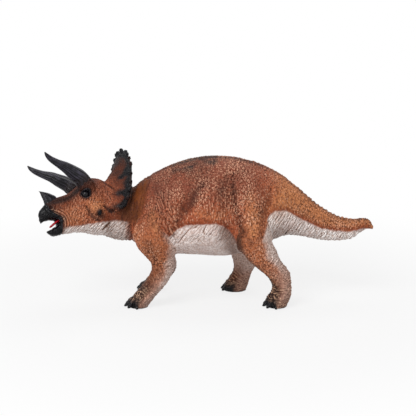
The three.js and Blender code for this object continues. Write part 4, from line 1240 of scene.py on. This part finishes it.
# Rows for a claw: [forward, up, thickness].
claw_rows = [[-0.1, 0.42, 0.4], [0.2, 0.42, 0.68], [0.5, 0.33, 0.62], [0.8, 0.21, 0.42], [1.0, 0.14, 0.12]]
claw_turns = [math.radians(v) for v in (-24, 10, 44, 84)]
claw_length = 2.6
claw_rings = (16, 24)
toe_reach = (6.3, 6.0)
toe_width = 4.1


def shade_horn(piece, root, crest):
    """Marks the brown root of a horn and the crests of its growth lines for the lacquer."""
    for name, values in (("root", root), ("crest", crest)):
        piece.data.attributes.new(name, "FLOAT", "POINT").data.foreach_set("value", values)


def root_share(piece, seat, reach):
    """1 at the seat of a horn, fading out at this reach from it."""
    co = np.empty(len(piece.data.vertices) * 3)
    piece.data.vertices.foreach_get("co", co)
    return fade(reach, reach * 0.3, np.linalg.norm(co.reshape(-1, 3) / MM - seat, axis=1))


def striations(count, depth, seed):
    """Growth lines that run the length of a horn, fading to its point."""
    def bump(share, turn):
        q = np.stack([np.cos(turn) * 3, np.sin(turn) * 3, np.full(len(turn), share * 3.0)], axis=1)
        drift = clouds(q, 1.0, seed)
        line = folds(turn / (2 * math.pi) * count + 0.6 * drift)
        waver = 0.02 * clouds(q * np.array([1, 1, 6]), 1.0, seed + 1)
        return 1 + depth * line * fade(1.0, 0.75, share) + waver
    return bump


def crest_of(grow, rings, segments):
    """How much the growth lines are greyed, as worn lacquer and painted highlight, over the points of a horn.
    """
    rows = [np.clip((grow(i / (rings - 1), circle(segments)) - 1.0) / 0.03, 0, 1) for i in range(rings)]
    return np.concatenate(rows + [[0, 0]])


def brow_horn(name):
    hand = hand_of(name)
    rings, segments = brow_horn_rings
    rows = smooth_line(brow_horn_rows, rings)
    run = rows[:, :3] * [-1, hand, 1]
    centres = from_head(np.array(brow_horn_seat) * [1, hand, 1] + brow_horn_length * run)
    half = np.maximum(rows[:, 3], 0.05) * brow_horn_width / 2
    grow = striations(13, 0.085, 5 + hand)
    horn = swept(name, centres, np.stack([half, half], 1), head_up, segments, grow)
    shade_horn(horn, root_share(horn, centres[1], 9.0), crest_of(grow, rings, segments))
    return horn


def head_rings(name, points, segments):
    """A closed piece from rings of points in the head's axes, with each end fanned from its own middle."""
    points = from_head(np.concatenate(points))
    ends = [points[:segments].mean(0), points[-segments:].mean(0)]
    return ring_piece(name, np.concatenate([points, ends]), segments)


def forward_line(rows, seat, length):
    """Centres in the head's middle plane, from rows that start with shares of a length forward and up."""
    return np.array(seat) + length * np.stack([-rows[:, 0], 0 * rows[:, 0], rows[:, 1]], 1)


def nose_horn(name):
    rings, segments = nose_horn_rings
    rows = smooth_line(nose_horn_rows, rings)
    centres = forward_line(rows, nose_horn_seat, nose_horn_length)
    halves = np.stack([rows[:, 3] * nose_horn_thickness / 2, rows[:, 2] * nose_horn_width / 2], 1)
    halves = np.maximum(halves, 0.12)
    turn = circle(segments)
    grow = striations(12, 0.06, 9)
    points = []
    for i, (centre, (thick, long)) in enumerate(zip(centres, halves)):
        g = grow(i / (rings - 1), turn)
        points.append(centre + np.stack([np.cos(turn) * long * g, np.sin(turn) * thick * g, 0 * turn], 1))
    horn = head_rings(name, points, segments)
    seat = from_head(np.array(nose_horn_seat) + [0, 0, -3])
    shade_horn(horn, root_share(horn, seat, 3.0), crest_of(grow, rings, segments))
    return horn


def tongue_groove(share, turn):
    """The tongue's sides stand up about a groove along its middle."""
    return 1 - 0.35 * bell(turn - math.pi / 2, 0.35) * math.sin(math.pi * min(1, share * 1.1)) ** 0.5


def tongue_piece(name):
    rings, segments = tongue_rings
    rows = smooth_line(tongue_rows, rings)
    thick = np.sqrt(np.maximum(rows[:, 2], 0.1)) * tongue_thickness / 2
    halves = np.stack([rows[:, 2] * tongue_width / 2, thick], 1)
    centres = from_head(forward_line(rows, tongue_root, tongue_length))
    return swept(name, centres, halves, head_up, segments, tongue_groove)


def eye_piece(name):
    rings, segments = eye_rings
    middle = np.array(eye_seat) * [1, hand_of(name), 1]
    turn = circle(segments)
    points = []
    for i in range(rings):
        lat = math.pi * (i + 0.15) / (rings - 0.7)
        r = eye_radius * math.sin(lat)
        level = np.full(segments, -eye_radius * math.cos(lat))
        points.append(middle + np.stack([r * np.cos(turn), level, r * np.sin(turn)], 1))
    return head_rings(name, points, segments)


def claw_piece(leg, number):
    """The dark nail on one toe of a foot."""
    rings, segments = claw_rings
    turn = claw_turns[number]
    ahead, out = -math.cos(turn), hand_of(leg) * math.sin(turn)
    start = sole_middle(leg) + np.array([ahead * toe_reach[0], out * toe_reach[1], 0])
    rows = smooth_line(claw_rows, rings)
    centres = start + np.outer(rows[:, 0] * claw_length, [ahead, out, 0])
    centres += np.outer(rows[:, 1] * toe_width, [0, 0, 1])
    half = np.maximum(rows[:, 2], 0.1) * toe_width / 2
    claw = swept(f"{leg}_claw_{number + 1}", centres, np.stack([half, half * 0.8], 1), [0, 0, 1], segments)
    plain = np.zeros(len(claw.data.vertices))
    shade_horn(claw, plain, plain)
    return claw


def linear(code):
    """An sRGB hex colour as the linear colour that a shader takes."""
    parts = [int(code[i:i + 2], 16) / 255 for i in (1, 3, 5)]
    return tuple(v / 12.92 if v <= 0.04045 else ((v + 0.055) / 1.055) ** 2.4 for v in parts) + (1.0,)


# The inputs and the output of a Mix node that mixes colours.
SHARE, UNDER, OVER, MIXED = 0, 6, 7, 2


def add(owner, kind, inputs=None, **settings):
    """Adds a node with its settings, and fills or links its inputs. A colour is given as sRGB hex."""
    node = owner.node_tree.nodes.new(kind)
    for key, value in settings.items():
        setattr(node, key, value)
    for key, value in (inputs or {}).items():
        if isinstance(value, bpy.types.NodeSocket):
            owner.node_tree.links.new(value, node.inputs[key])
        else:
            node.inputs[key].default_value = linear(value) if isinstance(value, str) else value
    return node


def new_material(name):
    material = bpy.data.materials.new(name)
    material.use_nodes = True
    material.node_tree.nodes.clear()
    return material


def painted_vinyl_skin():
    """Soft vinyl, sprayed in terracotta, darkened in the creases by wash and painted shade, and lightened on
    the crests by dry brush and painted highlight.
    The paint is satin: it takes a broad soft highlight and no clear reflection."""
    m = new_material("painted_vinyl_skin")
    place = add(m, "ShaderNodeTexCoord").outputs["Object"]
    layers = ("white", "dusk", "night", "rust", "tan", "ochre", "back", "cream", "crease", "crest", "brush")
    paint = {n: add(m, "ShaderNodeAttribute", attribute_name=n).outputs["Fac"] for n in layers}
    # Spray mottling in 7 mm clouds, and speckle at 1.4 mm.
    cloud = add(m, "ShaderNodeTexNoise",
                {"Vector": place, "Scale": 1 / 0.007, "Detail": 4.0, "Roughness": 0.6}).outputs["Fac"]
    speck = add(m, "ShaderNodeTexNoise",
                {"Vector": place, "Scale": 1 / 0.0014, "Detail": 3.0, "Roughness": 0.7}).outputs["Fac"]
    soft = add(m, "ShaderNodeMapRange", {"Value": cloud, "From Min": 0.35, "From Max": 0.66},
               interpolation_type="SMOOTHSTEP").outputs["Result"]
    fleck = add(m, "ShaderNodeMapRange", {"Value": speck, "From Min": 0.45, "From Max": 0.62, "To Max": 0.7},
                interpolation_type="SMOOTHSTEP").outputs["Result"]
    # Scale tops 0.9 mm wide and 1.8 mm long, of which about a third take the dry brush and painted highlight.
    slant = add(m, "ShaderNodeMapping",
                {"Vector": place, "Rotation": (0.0, 0.35, 0.0), "Scale": (1.0, 1.0, 0.5)}).outputs["Vector"]
    scale = add(m, "ShaderNodeTexVoronoi", {"Vector": slant, "Scale": 1 / 0.0009})
    bead = add(m, "ShaderNodeMapRange",
               {"Value": scale.outputs["Distance"], "From Min": 0.1, "From Max": 0.45, "To Min": 1.0,
                "To Max": 0.0}).outputs["Result"]
    lot = add(m, "ShaderNodeSeparateColor", {"Color": scale.outputs["Color"]}).outputs["Red"]
    some = add(m, "ShaderNodeMapRange", {"Value": lot, "From Min": 0.5, "From Max": 0.8}).outputs["Result"]
    top = add(m, "ShaderNodeMath", {0: bead, 1: some}, operation="MULTIPLY").outputs[0]
    colour = brown_coat(m, paint, soft, fleck, top)
    pale = pale_coat(m, paint, soft, fleck)
    # Black paint is lighter on its crests: a painted highlight.
    black = add(m, "ShaderNodeMix", {SHARE: paint["crest"], UNDER: "#09080A", OVER: "#222026"},
                data_type="RGBA").outputs[MIXED]
    for share, coat in ((paint["white"], pale), (paint["night"], black)):
        colour = add(m, "ShaderNodeMix", {SHARE: share, UNDER: colour, OVER: coat},
                     data_type="RGBA").outputs[MIXED]
    rough = add(m, "ShaderNodeMapRange", {"Value": paint["night"], "To Min": 0.6, "To Max": 0.26})
    fine = add(m, "ShaderNodeMath", {0: speck, 1: 0.6, 2: bead}, operation="MULTIPLY_ADD")
    bump = add(m, "ShaderNodeBump", {"Height": fine.outputs[0], "Strength": 0.75, "Distance": 0.0004})
    shader = add(m, "ShaderNodeBsdfPrincipled",
                 {"Base Color": colour, "Roughness": rough.outputs["Result"], "IOR": 1.47,
                  "Specular IOR Level": 0.13, "Normal": bump.outputs["Normal"]})
    add(m, "ShaderNodeOutputMaterial", {"Surface": shader.outputs["BSDF"]})
    return m


def brown_coat(m, paint, soft, fleck, top):
    """Mottled terracotta under sprayed colours and painted shade, with wash and painted shade in the creases,
    and dry brush and painted highlight on the highest tops.
    """
    top = add(m, "ShaderNodeMath", {0: top, 1: 0.9}, operation="MULTIPLY").outputs[0]
    top = add(m, "ShaderNodeMath", {0: paint["crest"], 1: 0.7, 2: top}, operation="MULTIPLY_ADD",
              use_clamp=True).outputs[0]
    brushed = add(m, "ShaderNodeMath", {0: top, 1: paint["brush"]}, operation="MULTIPLY").outputs[0]
    light = add(m, "ShaderNodeMix", {SHARE: paint["cream"], UNDER: "#E9B091", OVER: "#F6C5A2"},
                data_type="RGBA").outputs[MIXED]
    brown = "#94482B"
    for share, colour in ((soft, "#AE5E3E"), (paint["tan"], "#CC8355"), (paint["back"], "#78402F"),
                          (paint["rust"], "#874024"), (paint["ochre"], "#6C3816"), (fleck, "#5E2C1C"),
                          (paint["dusk"], "#261310"), (paint["crease"], "#2E130A"), (brushed, light)):
        brown = add(m, "ShaderNodeMix", {SHARE: share, UNDER: brown, OVER: colour},
                    data_type="RGBA").outputs[MIXED]
    return brown


def pale_coat(m, paint, soft, fleck):
    """The chalky off-white of belly, throat and inner legs, lightened by dry brush and on the throat by
    painted light, and darkened in its creases by wash and painted shade.
    """
    pale = "#D3BEB8"
    for share, colour in ((soft, "#E6D8D3"), (paint["brush"], "#FAF2EE"), (fleck, "#BC9F91"),
                          (paint["tan"], "#D9B29E"), (paint["dusk"], "#664636"),
                          (paint["crease"], "#7A5442")):
        pale = add(m, "ShaderNodeMix", {SHARE: share, UNDER: pale, OVER: colour},
                   data_type="RGBA").outputs[MIXED]
    return pale


def satin_black_horn():
    """Moulded vinyl in blue-black satin lacquer, grey on the growth lines as worn lacquer and painted
    highlight, and brown at the root.
    """
    m = new_material("satin_black_horn_lacquer")
    place = add(m, "ShaderNodeTexCoord").outputs["Object"]
    root = add(m, "ShaderNodeAttribute", attribute_name="root").outputs["Fac"]
    crest = add(m, "ShaderNodeAttribute", attribute_name="crest").outputs["Fac"]
    # Lacquer worn, and the painted highlight broken, in streaks of about 3 mm.
    streak = add(m, "ShaderNodeTexNoise",
                 {"Vector": place, "Scale": 1 / 0.003, "Detail": 2.0, "Roughness": 0.5}).outputs["Fac"]
    rub = add(m, "ShaderNodeMapRange",
              {"Value": streak, "From Min": 0.35, "From Max": 0.65, "To Min": 0.25,
               "To Max": 1.0}).outputs["Result"]
    # Grey on the growth lines: worn lacquer and painted highlight.
    worn_and_highlit = add(m, "ShaderNodeMath", {0: rub, 1: crest}, operation="MULTIPLY").outputs[0]
    colour = "#060508"
    for share, coat in ((worn_and_highlit, "#3A3742"), (root, "#1E1210")):
        colour = add(m, "ShaderNodeMix", {SHARE: share, UNDER: colour, OVER: coat},
                     data_type="RGBA").outputs[MIXED]
    rough = add(m, "ShaderNodeMapRange", {"Value": rub, "To Min": 0.22, "To Max": 0.4})
    bump = add(m, "ShaderNodeBump", {"Height": streak, "Strength": 0.35, "Distance": 0.0002})
    shader = add(m, "ShaderNodeBsdfPrincipled",
                 {"Base Color": colour, "Roughness": rough.outputs["Result"], "IOR": 1.5,
                  "Specular IOR Level": 0.18, "Normal": bump.outputs["Normal"]})
    add(m, "ShaderNodeOutputMaterial", {"Surface": shader.outputs["BSDF"]})
    return m


def gloss_enamel(name, deep, light, size, roughness):
    """Gloss enamel brushed on by hand, so its colour is a little uneven and it shines like wet glass."""
    m = new_material(name)
    place = add(m, "ShaderNodeTexCoord").outputs["Object"]
    brush = add(m, "ShaderNodeTexNoise",
                {"Vector": place, "Scale": 1 / (size * MM), "Detail": 2.0}).outputs["Fac"]
    uneven = add(m, "ShaderNodeMapRange", {"Value": brush, "From Min": 0.35, "From Max": 0.65})
    colour = add(m, "ShaderNodeMix", {SHARE: uneven.outputs["Result"], UNDER: deep, OVER: light},
                 data_type="RGBA")
    bump = add(m, "ShaderNodeBump", {"Height": brush, "Strength": 0.12, "Distance": 0.0001})
    shader = add(m, "ShaderNodeBsdfPrincipled",
                 {"Base Color": colour.outputs[MIXED], "Roughness": roughness, "IOR": 1.5,
                  "Specular IOR Level": 0.2, "Normal": bump.outputs["Normal"]})
    add(m, "ShaderNodeOutputMaterial", {"Surface": shader.outputs["BSDF"]})
    return m


def matte_white_paper():
    """The sweep of pale background paper: matte, so it takes a soft shadow, and shown white to the camera."""
    m = new_material("matte_white_paper")
    place = add(m, "ShaderNodeTexCoord").outputs["Object"]
    # The paper's tooth is drawn at 2.5 mm, coarser than it is, so that it shows.
    tooth = add(m, "ShaderNodeTexNoise", {"Vector": place, "Scale": 1 / 0.0025, "Detail": 2.0}).outputs["Fac"]
    colour = add(m, "ShaderNodeMix", {SHARE: tooth, UNDER: "#CDCDCD", OVER: "#D4D4D4"}, data_type="RGBA")
    paper = add(m, "ShaderNodeBsdfDiffuse", {"Color": colour.outputs[MIXED]})
    seen = add(m, "ShaderNodeLightPath").outputs
    glow = add(m, "ShaderNodeEmission", {"Color": "#FFFFFF", "Strength": 1.0})
    share = add(m, "ShaderNodeMath", {0: seen["Is Camera Ray"], 1: seen["Is Glossy Ray"]},
                operation="MAXIMUM").outputs[0]
    # Near the toy the paper keeps its shadow, and further off it is plain white.
    away = add(m, "ShaderNodeVectorMath", {0: place}, operation="LENGTH").outputs["Value"]
    plain = add(m, "ShaderNodeMapRange",
                {"Value": away, "From Min": 0.11, "From Max": 0.26, "To Min": 0.8, "To Max": 1.0},
                interpolation_type="SMOOTHSTEP").outputs["Result"]
    share = add(m, "ShaderNodeMath", {0: share, 1: plain}, operation="MULTIPLY").outputs[0]
    mixed = add(m, "ShaderNodeMixShader", {0: share, 1: paper.outputs["BSDF"], 2: glow.outputs["Emission"]})
    add(m, "ShaderNodeOutputMaterial", {"Surface": mixed.outputs["Shader"]})
    return m


def aim(thing, target):
    thing.rotation_euler = (Vector(target) - thing.location).to_track_quat("-Z", "Y").to_euler()


def softbox(name, place, width, power):
    light = bpy.data.lights.new(name, "AREA")
    light.shape = "SQUARE"
    light.size = width
    light.energy = power
    thing = standing(name, light)
    thing.location = place
    aim(thing, toy_middle)


# The photograph's width and its lens's focal length, both in pixels.
photo_width = 416
photo_focus = 1500
# The camera's distance, its tilt, and the place that it looks at, in metres.
camera_distance = 0.9
camera_tilt = math.radians(14)
camera_target = (0.0045, 0, 0.0563)
# The softboxes' names, places and widths in metres, and powers in watts, and what they point at.
softboxes = [
    ("key softbox", (-0.35, -0.55, 0.7), 0.45, 6.4),
    ("fill softbox", (0.6, -0.6, 0.25), 0.6, 0.8),
    ("low softbox", (-0.6, -0.5, 0.08), 0.4, 1.3),
    ("top softbox", (0.1, 0.35, 0.75), 0.5, 2.6),
]
toy_middle = (0, 0, 0.05)
# How bright the studio's walls are for the toy, and as the camera sees them.
wall_light = 0.33
wall_seen = 1.0
# Half the width of the paper.
floor_reach = 1500


def studio():
    """Softboxes in a pale room, over a sweep of white paper."""
    scene = bpy.context.scene
    scene.view_settings.view_transform = "Standard"
    world = bpy.data.worlds.new("studio")
    world.use_nodes = True
    world.node_tree.nodes.clear()
    scene.world = world
    seen = add(world, "ShaderNodeLightPath").outputs
    both = add(world, "ShaderNodeMath", {0: seen["Is Camera Ray"], 1: seen["Is Transmission Ray"]},
               operation="MAXIMUM").outputs[0]
    white = add(world, "ShaderNodeMath", {0: both, 1: seen["Is Glossy Ray"]}, operation="MAXIMUM").outputs[0]
    level = add(world, "ShaderNodeMapRange", {"Value": white, "To Min": wall_light, "To Max": wall_seen})
    glow = add(world, "ShaderNodeBackground", {"Color": "#FFFFFF", "Strength": level.outputs["Result"]})
    add(world, "ShaderNodeOutputWorld", {"Surface": glow.outputs["Background"]})
    for box in softboxes:
        softbox(*box)
    corners = [(-1, -1, 0), (1, -1, 0), (1, 1, 0), (-1, 1, 0)]
    floor = standing("floor", mesh_from("floor", np.array(corners) * floor_reach, [(0, 1, 2, 3)]))
    floor.data.materials.append(matte_white_paper())


def camera():
    """The photograph's camera: far off and a little above the toy, facing its left side."""
    lens = bpy.data.cameras.new("camera")
    lens.sensor_width = 36.0
    lens.lens = lens.sensor_width * photo_focus / photo_width
    lens.clip_start = 0.01
    eye = standing("camera", lens)
    target = Vector(camera_target)
    eye.location = target + camera_distance * Vector((0, -math.cos(camera_tilt), math.sin(camera_tilt)))
    aim(eye, target)
    bpy.context.scene.camera = eye


def finish_piece(piece, material, slot, *nodes):
    piece.data.materials.append(material)
    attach(piece, "root")
    if nodes:
        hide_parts(*nodes)


def slot_of(node):
    """The paint slot of a piece of skin, by the node that it stands for."""
    slots = {"frill": "shield_paint", "lower_jaw": "horn_paint", **dict.fromkeys(LEGS, "leg_paint")}
    return slots.get(node, "skin_paint")


def body_skin():
    """The skin of trunk, tail and legs."""
    skin = Skin(BODY, body_grain, body_fillet, before_seam)
    shape_body(skin)
    detail_body(skin)
    skin.points = inside_box(skin.points)
    paint_body(skin)
    return skin


def head_skin():
    """The skin of skull, shield and lower jaw, cast in one with the knobs of the rim."""
    knobs = [round_lump(from_head(knob_middle(knob)), knob[2] + knob_swell) for knob in rim_knobs]
    skin = Skin(HEAD, head_grain, head_fillet, behind_seam, knobs)
    sink_rim(skin)
    shape_head(skin)
    detail_head(skin)
    skin.points = inside_box(skin.points)
    paint_head(skin)
    return skin


def finish_skin(skin, material):
    """Cuts a skin in pieces, gives each its name and material, and hides the solid of the node that it stands
    for.
    """
    names = {n: n.replace("_shell", "") + "_skin" for n in skin.nodes}
    for node, piece in cut_pieces(skin, names).items():
        finish_piece(piece, material, slot_of(node), node)


camera()
studio()
skin_paint = painted_vinyl_skin()
horn_paint = satin_black_horn()
eye_paint = gloss_enamel("gloss_black_eye_enamel", "#0B0A0C", "#151217", 1.6, 0.08)
tongue_paint = gloss_enamel("gloss_red_tongue_enamel", "#8C0F1C", "#B31C28", 1.2, 0.24)

finish_skin(body_skin(), skin_paint)
finish_skin(head_skin(), skin_paint)
for name in ("left_brow_horn", "right_brow_horn"):
    finish_piece(brow_horn(name + "_growth"), horn_paint, "horn_paint", name)
finish_piece(nose_horn("nose_horn_growth"), horn_paint, "horn_paint", "nose_horn")
for name in ("left_eye", "right_eye"):
    finish_piece(eye_piece(name + "_bead"), eye_paint, "eye_gloss", name)
finish_piece(tongue_piece("tongue_flesh"), tongue_paint, "tongue_paint", "tongue")
for leg in LEGS:
    for number in range(len(claw_turns)):
        finish_piece(claw_piece(leg, number), horn_paint, "horn_paint")
